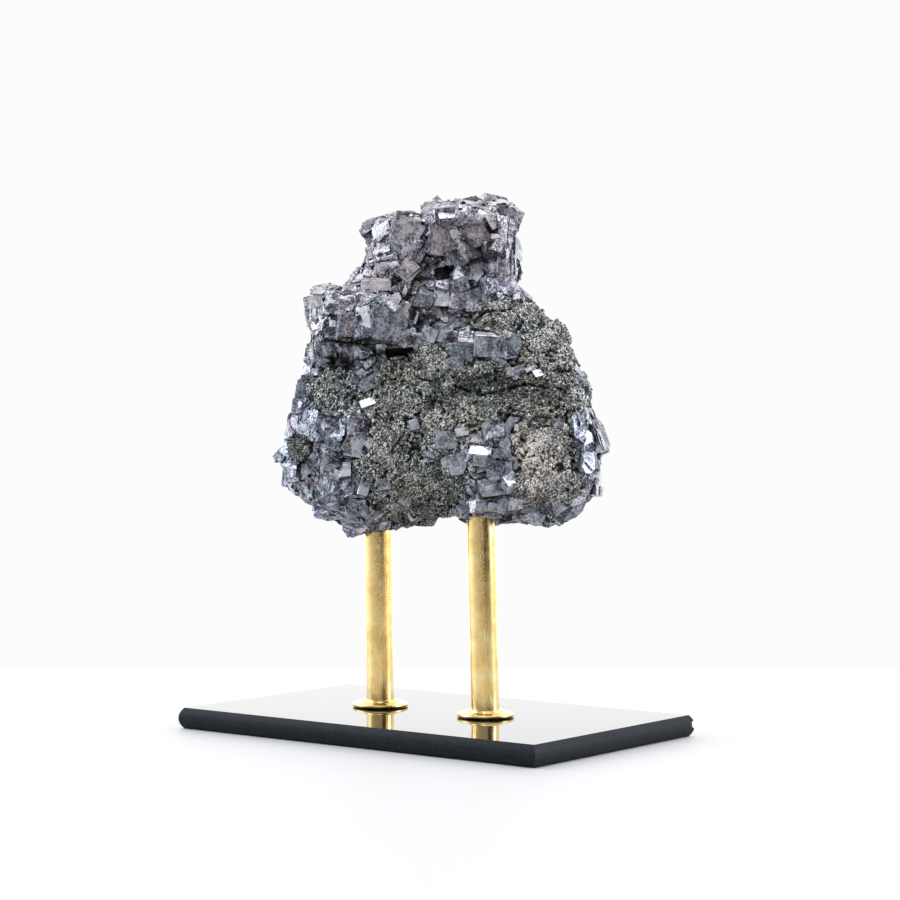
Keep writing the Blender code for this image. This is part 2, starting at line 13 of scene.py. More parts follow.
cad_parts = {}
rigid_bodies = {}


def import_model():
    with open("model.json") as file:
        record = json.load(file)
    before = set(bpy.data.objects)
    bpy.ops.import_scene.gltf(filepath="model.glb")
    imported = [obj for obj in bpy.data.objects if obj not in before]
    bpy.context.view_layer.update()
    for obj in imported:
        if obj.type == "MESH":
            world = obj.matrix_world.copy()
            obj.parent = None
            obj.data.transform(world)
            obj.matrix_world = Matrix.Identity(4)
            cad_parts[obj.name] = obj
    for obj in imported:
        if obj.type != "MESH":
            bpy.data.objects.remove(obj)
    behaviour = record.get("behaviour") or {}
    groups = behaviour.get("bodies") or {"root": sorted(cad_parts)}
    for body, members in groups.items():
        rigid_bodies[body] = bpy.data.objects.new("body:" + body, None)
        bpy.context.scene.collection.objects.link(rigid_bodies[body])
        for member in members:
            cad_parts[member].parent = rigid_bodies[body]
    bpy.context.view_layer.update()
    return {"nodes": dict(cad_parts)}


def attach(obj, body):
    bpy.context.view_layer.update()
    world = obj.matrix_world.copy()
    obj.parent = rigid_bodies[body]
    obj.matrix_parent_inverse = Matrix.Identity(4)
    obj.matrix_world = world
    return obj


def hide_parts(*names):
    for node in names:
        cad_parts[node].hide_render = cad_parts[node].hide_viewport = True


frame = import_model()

# ---------------------------------------------------------------------------- studio
# A white table in a bright white room: the light is soft and comes from all round, with a
# large window on the left and rear. The side that the specimen faces is dimmer.

MM = 0.001
TURN = math.radians(37.61)  # the eye stands this far round from the base's front edge
EYE = Vector((0.6699, -0.8573, 0.1490))
EYE_PITCH = math.radians(-1.09)
TABLE_HALF_WIDTH = 1.4
TABLE_FRONT, TABLE_BACK = -1.6, 0.272  # how far its edges are from the base's middle, along the view
DOORWAY_TURN = math.radians(38)  # a dark doorway stands this far to the viewer's right


def linear(colour):
    """An sRGB hex colour as linear values."""
    parts = [int(colour[i : i + 2], 16) / 255 for i in (1, 3, 5)]
    return [c / 12.92 if c <= 0.04045 else ((c + 0.055) / 1.055) ** 2.4 for c in parts] + [1.0]


def add_node(tree, kind, inputs=(), **settings):
    """A new node with its settings, and its inputs as values or as sockets to link from."""
    node = tree.nodes.new(kind)
    for name, value in settings.items():
        setattr(node, name, value)
    for name, value in dict(inputs).items():
        if isinstance(value, bpy.types.NodeSocket):
            tree.links.new(value, node.inputs[name])
        else:
            node.inputs[name].default_value = value
    return node


def set_ramp(node, stops):
    """Places a colour ramp's stops: (position, linear colour)."""
    elements = node.color_ramp.elements
    while len(elements) < len(stops):
        elements.new(0.5)
    for element, (position, colour) in zip(elements, stops):
        element.position = position
        element.color = colour


camera = bpy.data.objects.new("camera", bpy.data.cameras.new("camera"))
bpy.context.scene.collection.objects.link(camera)
bpy.context.scene.camera = camera
camera.data.sensor_width = 36.0
camera.data.lens = 96.0
camera.data.clip_start = 0.01
camera.location = EYE
camera.rotation_euler = (math.radians(90) + EYE_PITCH, 0, TURN)


def build_room_light():
    """The room as seen by light and reflections; a plain pale backdrop to the eye."""
    world = bpy.data.worlds.new("white_room")
    bpy.context.scene.world = world
    world.use_nodes = True
    tree = world.node_tree
    tree.nodes.clear()
    direction = add_node(tree, "ShaderNodeTexCoord").outputs["Generated"]
    viewer_side = (math.sin(TURN), -math.cos(TURN), 0)
    doorway = (math.sin(TURN + DOORWAY_TURN), -math.cos(TURN + DOORWAY_TURN), 0)
    shares = []
    for aim in (viewer_side, doorway):
        dot = add_node(tree, "ShaderNodeVectorMath", {0: direction, 1: aim}, operation="DOT_PRODUCT")
        half = add_node(tree, "ShaderNodeMath", {0: dot.outputs["Value"], 1: 0.5, 2: 0.5}, operation="MULTIPLY_ADD")
        shares.append(half.outputs[0])
    round_room = add_node(tree, "ShaderNodeValToRGB", {"Fac": shares[0]})
    set_ramp(
        round_room,
        [
            (0.0, (1.0, 1.0, 1.0, 1)),
            (0.30, (0.95, 0.95, 0.96, 1)),
            (0.55, (0.52, 0.525, 0.535, 1)),
            (0.80, (0.36, 0.36, 0.365, 1)),
            (1.0, (0.28, 0.28, 0.285, 1)),
        ],
    )
    dark = add_node(tree, "ShaderNodeValToRGB", {"Fac": shares[1]})
    set_ramp(dark, [(0.955, (1, 1, 1, 1)), (0.978, (0.16, 0.14, 0.12, 1)), (1.0, (0.10, 0.09, 0.08, 1))])
    room = add_node(
        tree,
        "ShaderNodeMix",
        {0: 1.0, 6: round_room.outputs[0], 7: dark.outputs[0]},
        data_type="RGBA",
        blend_type="MULTIPLY",
    )
    lit = add_node(tree, "ShaderNodeBackground", {"Color": room.outputs[2], "Strength": 1.75})
    seen = add_node(tree, "ShaderNodeBackground", {"Color": linear("#FCFCFD"), "Strength": 1.0})
    is_eye = add_node(tree, "ShaderNodeLightPath").outputs["Is Camera Ray"]
    mixed = add_node(tree, "ShaderNodeMixShader", {0: is_eye, 1: lit.outputs[0], 2: seen.outputs[0]})
    add_node(tree, "ShaderNodeOutputWorld", {"Surface": mixed.outputs[0]})


def add_softbox(name, size, power, colour, across, depth, up):
    """A soft rectangular light at a place given as across, depth and up from the eye's side."""
    light = bpy.data.lights.new(name, "AREA")
    light.shape = "RECTANGLE"
    light.size, light.size_y = size
    light.energy = power
    light.color = linear(colour)[:3]
    item = bpy.data.objects.new(name, light)
    bpy.context.scene.collection.objects.link(item)
    right = Vector((math.cos(TURN), math.sin(TURN), 0))
    away = Vector((-math.sin(TURN), math.cos(TURN), 0))
    item.location = right * across + away * depth + Vector((0, 0, up))
    item.rotation_euler = (Vector((0, 0, 0.16)) - item.location).to_track_quat("-Z", "Y").to_euler()


def build_table():
    """The white table top that the base stands on, square to the eye."""
    bm = bmesh.new()
    right = Vector((math.cos(TURN), math.sin(TURN), 0))
    away = Vector((-math.sin(TURN), math.cos(TURN), 0))
    corners = ((-1, TABLE_FRONT), (1, TABLE_FRONT), (1, TABLE_BACK), (-1, TABLE_BACK))
    bm.faces.new([bm.verts.new(right * side * TABLE_HALF_WIDTH + away * depth) for side, depth in corners])
    mesh = bpy.data.meshes.new("table_top")
    bm.to_mesh(mesh)
    bm.free()
    table = bpy.data.objects.new("table_top", mesh)
    bpy.context.scene.collection.objects.link(table)
    laminate = bpy.data.materials.new("white_satin_laminate")
    laminate.use_nodes = True
    shader = laminate.node_tree.nodes["Principled BSDF"]
    shader.inputs["Base Color"].default_value = linear("#C4C4C4")
    shader.inputs["Roughness"].default_value = 0.55
    mesh.materials.append(laminate)
    table.location.z = -0.02 * MM


build_room_light()
add_softbox("window_left", (0.9, 1.2), 11.0, "#E9F1FF", -1.2, 0.15, 0.75)
add_softbox("ceiling", (1.2, 1.2), 10.0, "#FFFFFF", 0.1, -0.2, 1.5)
add_softbox("lamp_right", (0.5, 0.9), 7.0, "#F0F3FF", 1.2, -0.1, 0.5)
build_table()
bpy.context.scene.view_settings.view_transform = "Standard"

# ---------------------------------------------------------------------------- base plate
# A plate of black stone, sawn to 202 x 123 x 9.6 mm. Its top is polished like a mirror;
# its edges are ground to a shallow curve and left honed. One rear corner has a small chip.

BASE_SIZE = Vector((201.6, 123.0, 9.6)) * MM
EDGE_BULGE = 2.0 * MM
EDGE_STEPS = 28
CHIP_PLACE = Vector((100.8, 61.5, 5.3)) * MM
CHIP_REACH = Vector((3.4, 3.4, 1.8)) * MM
CHIP_DEPTH = 1.3 * MM


def link_piece(mesh, name, material, node=None):
    """Makes the mesh a piece of the object that stands on its root body."""
    piece = bpy.data.objects.new(name, mesh)
    bpy.context.scene.collection.objects.link(piece)
    mesh.materials.clear()
    mesh.materials.append(material)
    if node:
        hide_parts(node)
    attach(piece, "root")
    return piece


def edge_offset(height):
    """How far the ground edge stands out past the flat top, at a height over the underside."""
    half = BASE_SIZE.z / 2
    radius = (half**2 + EDGE_BULGE**2) / (2 * EDGE_BULGE)
    return math.sqrt(max(radius**2 - (height - half) ** 2, 0)) - (radius - EDGE_BULGE)


def plate_outline():
    """Points round the plate's flat top, closer together near the corners."""
    steps = (0, 0.35, 0.8, 1.4, 2.2, 3.2, 5.0)
    corners = [(1, -1), (1, 1), (-1, 1), (-1, -1)]
    half = Vector((BASE_SIZE.x / 2 - EDGE_BULGE, BASE_SIZE.y / 2 - EDGE_BULGE))
    points = []
    for (ax, ay), (bx, by) in zip(corners, corners[1:] + corners[:1]):
        start, end = Vector((ax * half.x, ay * half.y)), Vector((bx * half.x, by * half.y))
        along = (end - start).normalized()
        points += [start + along * step * MM for step in steps]
        points += [end - along * step * MM for step in steps[:0:-1]]
    return points


def build_plate():
    outline = plate_outline()
    half = Vector((BASE_SIZE.x / 2 - EDGE_BULGE, BASE_SIZE.y / 2 - EDGE_BULGE))
    bm = bmesh.new()
    rings = []
    for step in range(EDGE_STEPS + 1):
        height = BASE_SIZE.z * step / EDGE_STEPS
        offset = edge_offset(height)
        ring = []
        for point in outline:
            out_x = math.copysign(offset, point.x) if abs(abs(point.x) - half.x) < 1e-7 else 0
            out_y = math.copysign(offset, point.y) if abs(abs(point.y) - half.y) < 1e-7 else 0
            ring.append(bm.verts.new((point.x + out_x, point.y + out_y, height)))
        rings.append(ring)
    bm.faces.new(rings[0][::-1])
    bm.faces.new(rings[-1])
    for low, high in zip(rings, rings[1:]):
        for i in range(len(low)):
            j = (i + 1) % len(low)
            bm.faces.new((low[i], low[j], high[j], high[i]))
    for vert in bm.verts:
        off = Vector(gap / reach for gap, reach in zip(vert.co - CHIP_PLACE, CHIP_REACH)).length
        inward = Vector((-1, -1, 0)).normalized() * CHIP_DEPTH * max(0.0, 1 - off**2)
        vert.co += inward * (1 + 0.5 * noise.noise(vert.co / MM * 1.3))
    mesh = bpy.data.meshes.new("base_plate")
    bm.to_mesh(mesh)
    bm.free()
    mesh.shade_smooth()
    mesh.set_sharp_from_angle(angle=math.radians(24))
    return mesh


def polished_black_stone():
    """Dense black stone with a mirror polish: it reflects like glass, and hides its grain."""
    stone = bpy.data.materials.new("polished_black_stone")
    stone.use_nodes = True
    tree = stone.node_tree
    shader = tree.nodes["Principled BSDF"]
    place = add_node(tree, "ShaderNodeTexCoord").outputs["Object"]
    cloud = add_node(tree, "ShaderNodeTexNoise", {"Vector": place, "Scale": 60.0, "Detail": 4.0})
    haze = add_node(
        tree,
        "ShaderNodeMapRange",
        {"Value": cloud.outputs[0], "From Min": 0.35, "From Max": 0.75, "To Min": 0.008, "To Max": 0.03},
    )
    tree.links.new(haze.outputs[0], shader.inputs["Roughness"])
    grain = add_node(tree, "ShaderNodeTexNoise", {"Vector": place, "Scale": 700.0, "Detail": 2.0})
    colour = add_node(tree, "ShaderNodeValToRGB", {"Fac": grain.outputs[0]})
    set_ramp(colour, [(0.4, linear("#06080A")), (0.7, linear("#101418"))])
    tree.links.new(colour.outputs[0], shader.inputs["Base Color"])
    shader.inputs["IOR"].default_value = 1.55
    return stone


def honed_black_stone():
    """The same stone ground to a 400-grit hone: matt slate grey, streaked along the cut."""
    stone = bpy.data.materials.new("honed_black_stone")
    stone.use_nodes = True
    tree = stone.node_tree
    shader = tree.nodes["Principled BSDF"]
    place = add_node(tree, "ShaderNodeTexCoord").outputs["Object"]
    along = add_node(tree, "ShaderNodeMapping", {"Vector": place, "Scale": (130, 130, 1500)})
    streaks = add_node(tree, "ShaderNodeTexNoise", {"Vector": along.outputs[0], "Scale": 1.0, "Detail": 5.0})
    grit = add_node(tree, "ShaderNodeTexNoise", {"Vector": place, "Scale": 1500.0, "Detail": 3.0})
    both = add_node(
        tree, "ShaderNodeMath", {0: streaks.outputs[0], 1: 0.5, 2: grit.outputs[0]}, operation="MULTIPLY_ADD"
    )
    honed = add_node(tree, "ShaderNodeValToRGB", {"Fac": both.outputs[0]})
    set_ramp(honed, [(0.55, linear("#05090D")), (0.74, linear("#0B1218")), (0.95, linear("#1D2831"))])
    tree.links.new(honed.outputs[0], shader.inputs["Base Color"])
    shader.inputs["Roughness"].default_value = 0.5
    shader.inputs["Specular IOR Level"].default_value = 0.16
    bump = add_node(
        tree, "ShaderNodeBump", {"Strength": 0.8, "Distance": 0.05 * MM, "Height": both.outputs[0]}
    )
    tree.links.new(bump.outputs[0], shader.inputs["Normal"])
    return stone


plate_mesh = build_plate()
link_piece(plate_mesh, "base_plate", honed_black_stone(), "base")
plate_mesh.materials.append(polished_black_stone())
for polygon in plate_mesh.polygons:
    polygon.material_index = int(abs(polygon.normal.z) > 0.999 and len(polygon.vertices) > 4)

# ---------------------------------------------------------------------------- brass posts
# Two lengths of half-inch brass rod, buffed bright. Each stands in a blind hole in the
# plate and goes up into a hole drilled in the specimen; each leans a little to the left.

POST_RADIUS = 6.35 * MM
POST_SIDES = 96
POST_LINE = -0.4 * MM
# Painted reflection: brown streaks down each post stand for dark things that the brass reflects.
PAINTED_REFLECTION_RUNS = ((-59, 22, 0.62), (-12, 5, 0.4))  # way round and width in degrees, strength
POSTS = {  # foot along the plate in mm, lean in degrees, top in mm
    "left_post": (-30.8, 0.9, 110.7),
    "right_post": (29.8, 1.7, 116.7),
}


def build_post(foot, lean, top):
    bm = bmesh.new()
    low, high = -5.0 * MM, (top - 0.5) * MM - BASE_SIZE.z
    rings = []
    for step in range(41):
        height = low + (high - low) * step / 40
        turns = (math.tau * side / POST_SIDES for side in range(POST_SIDES))
        rings.append(
            [bm.verts.new((POST_RADIUS * math.cos(t), POST_RADIUS * math.sin(t), height)) for t in turns]
        )
    bm.faces.new(rings[0][::-1])
    bm.faces.new(rings[-1])
    for below, above in zip(rings, rings[1:]):
        for side in range(POST_SIDES):
            after = (side + 1) % POST_SIDES
            bm.faces.new((below[side], below[after], above[after], above[side]))
    stand = Matrix.Translation((foot * MM, POST_LINE, BASE_SIZE.z))
    bm.transform(stand @ Matrix.Rotation(-math.radians(lean), 4, "Y"))
    mesh = bpy.data.meshes.new("post")
    bm.to_mesh(mesh)
    bm.free()
    mesh.shade_smooth()
    mesh.set_sharp_from_angle(angle=math.radians(40))
    # How strong the painted reflection streak is at each point, growing with height.
    reflection_streak = mesh.attributes.new("reflection_streak", "FLOAT", "POINT")
    for vert, item in zip(mesh.vertices, reflection_streak.data):
        turn = math.degrees(math.atan2(vert.co.y - POST_LINE, vert.co.x - foot * MM))
        height = min(max((vert.co.z / MM - 25) / 65, 0), 1)
        item.value = sum(
            share * height * math.exp(-(((turn - middle) / wide) ** 2)) for middle, wide, share in PAINTED_REFLECTION_RUNS
        )
    return mesh


def buffed_brass():
    """Yellow brass, buffed and lacquered: bright, with a fine grain from the drawing die
    that breaks up reflections, faint clouds of browner brass, and a painted reflection: a brown streak down one side."""
    brass = bpy.data.materials.new("buffed_brass")
    brass.use_nodes = True
    tree = brass.node_tree
    shader = tree.nodes["Principled BSDF"]
    place = add_node(tree, "ShaderNodeTexCoord").outputs["Object"]
    cloud = add_node(tree, "ShaderNodeTexNoise", {"Vector": place, "Scale": 130.0, "Detail": 4.0})
    tarnish = add_node(tree, "ShaderNodeValToRGB", {"Fac": cloud.outputs[0]})
    set_ramp(tarnish, [(0.30, linear("#DABA76")), (0.52, linear("#EECF8C")), (0.75, linear("#F8E3AC"))])
    # The painted reflection: a brown streak, broken up along the drawing grain.
    reflection_streak = add_node(tree, "ShaderNodeAttribute", attribute_name="reflection_streak").outputs["Fac"]
    streaks = add_node(tree, "ShaderNodeMapping", {"Vector": place, "Scale": (2000, 2000, 1200)})
    broken = add_node(tree, "ShaderNodeTexNoise", {"Vector": streaks.outputs[0], "Scale": 1.0, "Detail": 2.0})
    broken = add_node(tree, "ShaderNodeMapRange", {"Value": broken.outputs[0], "From Min": 0.38, "From Max": 0.66})
    browned = add_node(tree, "ShaderNodeMath", {0: reflection_streak, 1: broken.outputs[0]}, operation="MULTIPLY")
    browned = add_node(tree, "ShaderNodeMath", {0: browned.outputs[0], 1: 1.5}, operation="MULTIPLY", use_clamp=True)
    brown = add_node(
        tree,
        "ShaderNodeMix",
        {0: browned.outputs[0], 6: tarnish.outputs[0], 7: linear("#6E4618")},
        data_type="RGBA",
    )
    tree.links.new(brown.outputs[2], shader.inputs["Base Color"])
    shader.inputs["Metallic"].default_value = 1.0
    drawn = add_node(tree, "ShaderNodeMapping", {"Vector": place, "Scale": (1500, 1500, 260)})
    grain = add_node(tree, "ShaderNodeTexNoise", {"Vector": drawn.outputs[0], "Scale": 1.0, "Detail": 3.0})
    rough = add_node(
        tree,
        "ShaderNodeMapRange",
        {"Value": grain.outputs[0], "From Min": 0.3, "From Max": 0.7, "To Min": 0.10, "To Max": 0.24},
    )
    tree.links.new(rough.outputs[0], shader.inputs["Roughness"])
    bump = add_node(
        tree, "ShaderNodeBump", {"Strength": 0.5, "Distance": 0.02 * MM, "Height": grain.outputs[0]}
    )
    tree.links.new(bump.outputs[0], shader.inputs["Normal"])
    return brass


brass = buffed_brass()
for post_name, (foot, lean, top) in POSTS.items():
    link_piece(build_post(foot, lean, top), f"brass_{post_name}", brass, post_name)

# ---------------------------------------------------------------------------- brass flanges
# A turned collar at each post's foot: a thin disc with a rounded rim, and a low boss with a
# soft shoulder round the rod. It is polished like the rod and only rests on the stone.

FLANGE_SECTION = (  # radius and height over the plate in mm, from the bore round to the bore
    (6.38, 3.45),
    (7.3, 3.45),
    (7.75, 3.3),
    (8.0, 2.95),
    (8.15, 2.5),
    (8.6, 2.18),
    (9.4, 2.05),
    (11.4, 2.0),
    (12.2, 1.93),
    (12.65, 1.72),
    (12.88, 1.35),
    (12.9, 1.0),
    (12.82, 0.62),
    (12.5, 0.35),
    (12.0, 0.3),
    (6.38, 0.3),
)
FLANGE_STEPS = 128


def build_flange(x):
    bm = bmesh.new()
    rings = []
    for radius, height in FLANGE_SECTION:
        ring = []
        for step in range(FLANGE_STEPS):
            turn = math.tau * step / FLANGE_STEPS
            ring.append(bm.verts.new((radius * MM * math.cos(turn), radius * MM * math.sin(turn), height * MM)))
        rings.append(ring)
    for upper, lower in zip(rings, rings[1:] + rings[:1]):
        for step in range(FLANGE_STEPS):
            after = (step + 1) % FLANGE_STEPS
            bm.faces.new((upper[step], lower[step], lower[after], upper[after]))
    bm.transform(Matrix.Translation((x * MM, POST_LINE, BASE_SIZE.z)))
    mesh = bpy.data.meshes.new("flange")
    bm.to_mesh(mesh)
    bm.free()
    mesh.shade_smooth()
    mesh.set_sharp_from_angle(angle=math.radians(50))
    return mesh


for flange_name, post_name in (("left_flange", "left_post"), ("right_flange", "right_post")):
    link_piece(build_flange(POSTS[post_name][0]), f"brass_{flange_name}", brass, flange_name)

# ---------------------------------------------------------------------------- large crystals
# Galena grown as intergrown cubes, 8 to 15 mm across, some with cut corners. They have
# been knocked about: the faces are cleaved into thin steps that run square to their edges.

SHOW_EYE = Vector((8.1, -1088.0, 148.3))  # mm, in the specimen's own axes
SLANT = 0.35
TO_WORLD = Matrix.Translation(Vector((-0.5, -0.4, 0.7)) * MM) @ Matrix.Rotation(math.radians(37.6), 4, "Z")
MATRIX_FRONT = (
    (5, 153, 42, 15.5),
    (-9.5, 121, 24, 27),
    (34, 187, 18, 8.5),
    (54, 175, 16, 11),
    (48, 152, 23, 11),
    (51, 123, 15, 22),
    (-43.5, 155, 11, 12),
    (-1, 170, 9, 7),
    (-60, 129, 5, 6),
)
MATRIX_BACK = (
    (-8, 132, 26, 20),
    (32, 172, 22, 13),
    (50, 120, 16, 17),
    (6, 208, 11, 9),
)
# Painted light and shade: regions of the galena painted paler, darker where negative, to stand for how the light falls
# on them, such as the lamp-lit left flank painted darker and the bottom painted paler.
GALENA_PAINTED_LIGHT = (  # (across, up), half width and height in mm, and how much paler the galena is
    (-52, 135, 18, 30, -0.22),
    (-42, 178, 16, 14, -0.18),
    (10, 105, 60, 10, 0.09),
    (6, 224, 18, 12, 0.06),
    (24, 118, 14, 18, 0.03),
    (24, 174, 22, 6, 0.04),
)
TERRACE_AREA = 14.0  # mm2: smaller faces get no steps
GALENA_SEED = 5


def to_show_plane(points):
    """World points as (across, up) on the show plane in mm, and whether each is in front."""
    inverse = np.array(TO_WORLD.inverted())
    local = (points @ inverse[:3, :3].T + inverse[:3, 3]) / MM
    eye = np.array(SHOW_EYE)
    share = -eye[1] / (local[:, 1] - eye[1])
    seen = eye + (local - eye) * share[:, None]
    return seen[:, 0], seen[:, 2], local[:, 1] < -SLANT * local[:, 0]


def matrix_share(points):
    """0 where galena grows and 1 where the fine-grained matrix shows, with ragged edges."""
    across, up, front = to_show_plane(points)
    ragged = np.array(
        [0.34 * noise.noise(Vector(p) / (9 * MM)) + 0.22 * noise.noise(Vector(p) / (3 * MM)) for p in points]
    )
    share = np.zeros(len(points))
    for patches, side in ((MATRIX_FRONT, front), (MATRIX_BACK, ~front)):
        for x, z, wide, tall in patches:
            reach = np.hypot((across - x) / wide, (up - z) / tall) + ragged
            share = np.maximum(share, np.where(side, np.clip((1.06 - reach) / 0.10, 0, 1), 0))
    return share


def patch_strength(table, across, up, front):
    """How much paler, or darker where negative, the surface is in the table's places."""
    strength = np.zeros(len(across))
    for x, z, wide, tall, change in table:
        strength += change * front * np.exp(-(((across - x) / wide) ** 2) - ((up - z) / tall) ** 2)
    return strength


def merged_solid():
    """The specimen's solid as a bmesh, its flat faces whole."""
    bm = bmesh.new()
    bm.from_mesh(frame["nodes"]["galena_specimen"].data)
    bmesh.ops.remove_doubles(bm, verts=bm.verts, dist=0.002 * MM)
    bmesh.ops.dissolve_limit(bm, angle_limit=math.radians(0.8), verts=bm.verts, edges=bm.edges)
    return bm


def add_terrace(bm, face, chance):
    """A thin cleavage step over part of a flat face, cut square to one of its edges."""
    normal = face.normal.copy()
    longest = max(face.edges, key=lambda edge: edge.calc_length())
    along = (longest.verts[1].co - longest.verts[0].co).normalized()
    if chance.random() < 0.5:
        along = normal.cross(along)
    along = along * chance.choice((-1, 1))
    sheet = bmesh.new()
    outline = [sheet.verts.new(vert.co) for vert in face.verts]
    sheet.faces.new(outline)
    across = [vert.co.dot(along) for vert in face.verts]
    cut = min(across) + (max(across) - min(across)) * chance.uniform(0.2, 0.75)
    for limit, side in ((cut, along), (None, normal.cross(along))):
        if limit is None:
            if chance.random() < 0.45:
                continue
            side = side * chance.choice((-1, 1))
            values = [vert.co.dot(side) for vert in sheet.verts]
            limit = min(values) + (max(values) - min(values)) * chance.uniform(0.15, 0.6)
        bmesh.ops.bisect_plane(
            sheet,
            geom=sheet.verts[:] + sheet.edges[:] + sheet.faces[:],
            plane_co=side * limit,
            plane_no=side,
            clear_inner=True,
        )
    if not sheet.faces:
        sheet.free()
        return []
    height = chance.uniform(0.15, 0.6) * MM
    bmesh.ops.translate(sheet, vec=-normal * 0.1 * MM, verts=sheet.verts)
    raised = bmesh.ops.extrude_face_region(sheet, geom=sheet.faces[:])
    top = [item for item in raised["geom"] if isinstance(item, bmesh.types.BMVert)]
    bmesh.ops.translate(sheet, vec=normal * (height + 0.1 * MM), verts=top)
    bmesh.ops.recalc_face_normals(sheet, faces=sheet.faces)
    made = bpy.data.meshes.new("terrace")
    sheet.to_mesh(made)
    sheet.free()
    known = len(bm.faces)
    bm.from_mesh(made)
    bpy.data.meshes.remove(made)
    bm.faces.ensure_lookup_table()
    tops = [f for f in bm.faces[known:] if f.normal.dot(normal) > 0.99]
    return tops


def add_terraces(bm):
    chance = random.Random(GALENA_SEED)
    bm.faces.ensure_lookup_table()
    wide_faces = [face for face in bm.faces if face.calc_area() > TERRACE_AREA * MM * MM]
    middles = np.array([face.calc_center_median() for face in wide_faces])
    share = matrix_share(middles)
    for face, covered in zip(wide_faces, share):
        if covered > 0.5 or chance.random() < 0.2:
            continue
        level = [face]
        for _ in range(chance.choice((1, 2, 2, 3))):
            tops = add_terrace(bm, level[0], chance)
            if tops and tops[0].calc_area() > 5 * MM * MM:
                level = tops


def facet_looks(mesh, seed, given=None):
    """Each flat face's tone, hue and gloss, and a pair of axes along its longest edge with a
    random start. Faces marked in given have their looks chosen already."""
    chance = np.random.default_rng(seed)
    count = len(mesh.polygons)
    looks = np.stack([chance.beta(1.6, 2.2, count), chance.random(count), np.zeros(count)], axis=1)
    looks[chance.random(count) < 0.02, 2] = 0.6
    for i, chosen in enumerate(given or ()):
        if chosen:
            looks[i] = chosen
    axes = np.zeros((count, 2, 3))
    for i, polygon in enumerate(mesh.polygons):
        corners = [mesh.vertices[index].co for index in polygon.vertices]
        edges = [b - a for a, b in zip(corners, corners[1:] + corners[:1])]
        along = max(edges, key=lambda edge: edge.length_squared).normalized()
        axes[i] = along, polygon.normal.cross(along)
    return looks, axes, chance.uniform(-40, 40, (count, 2))


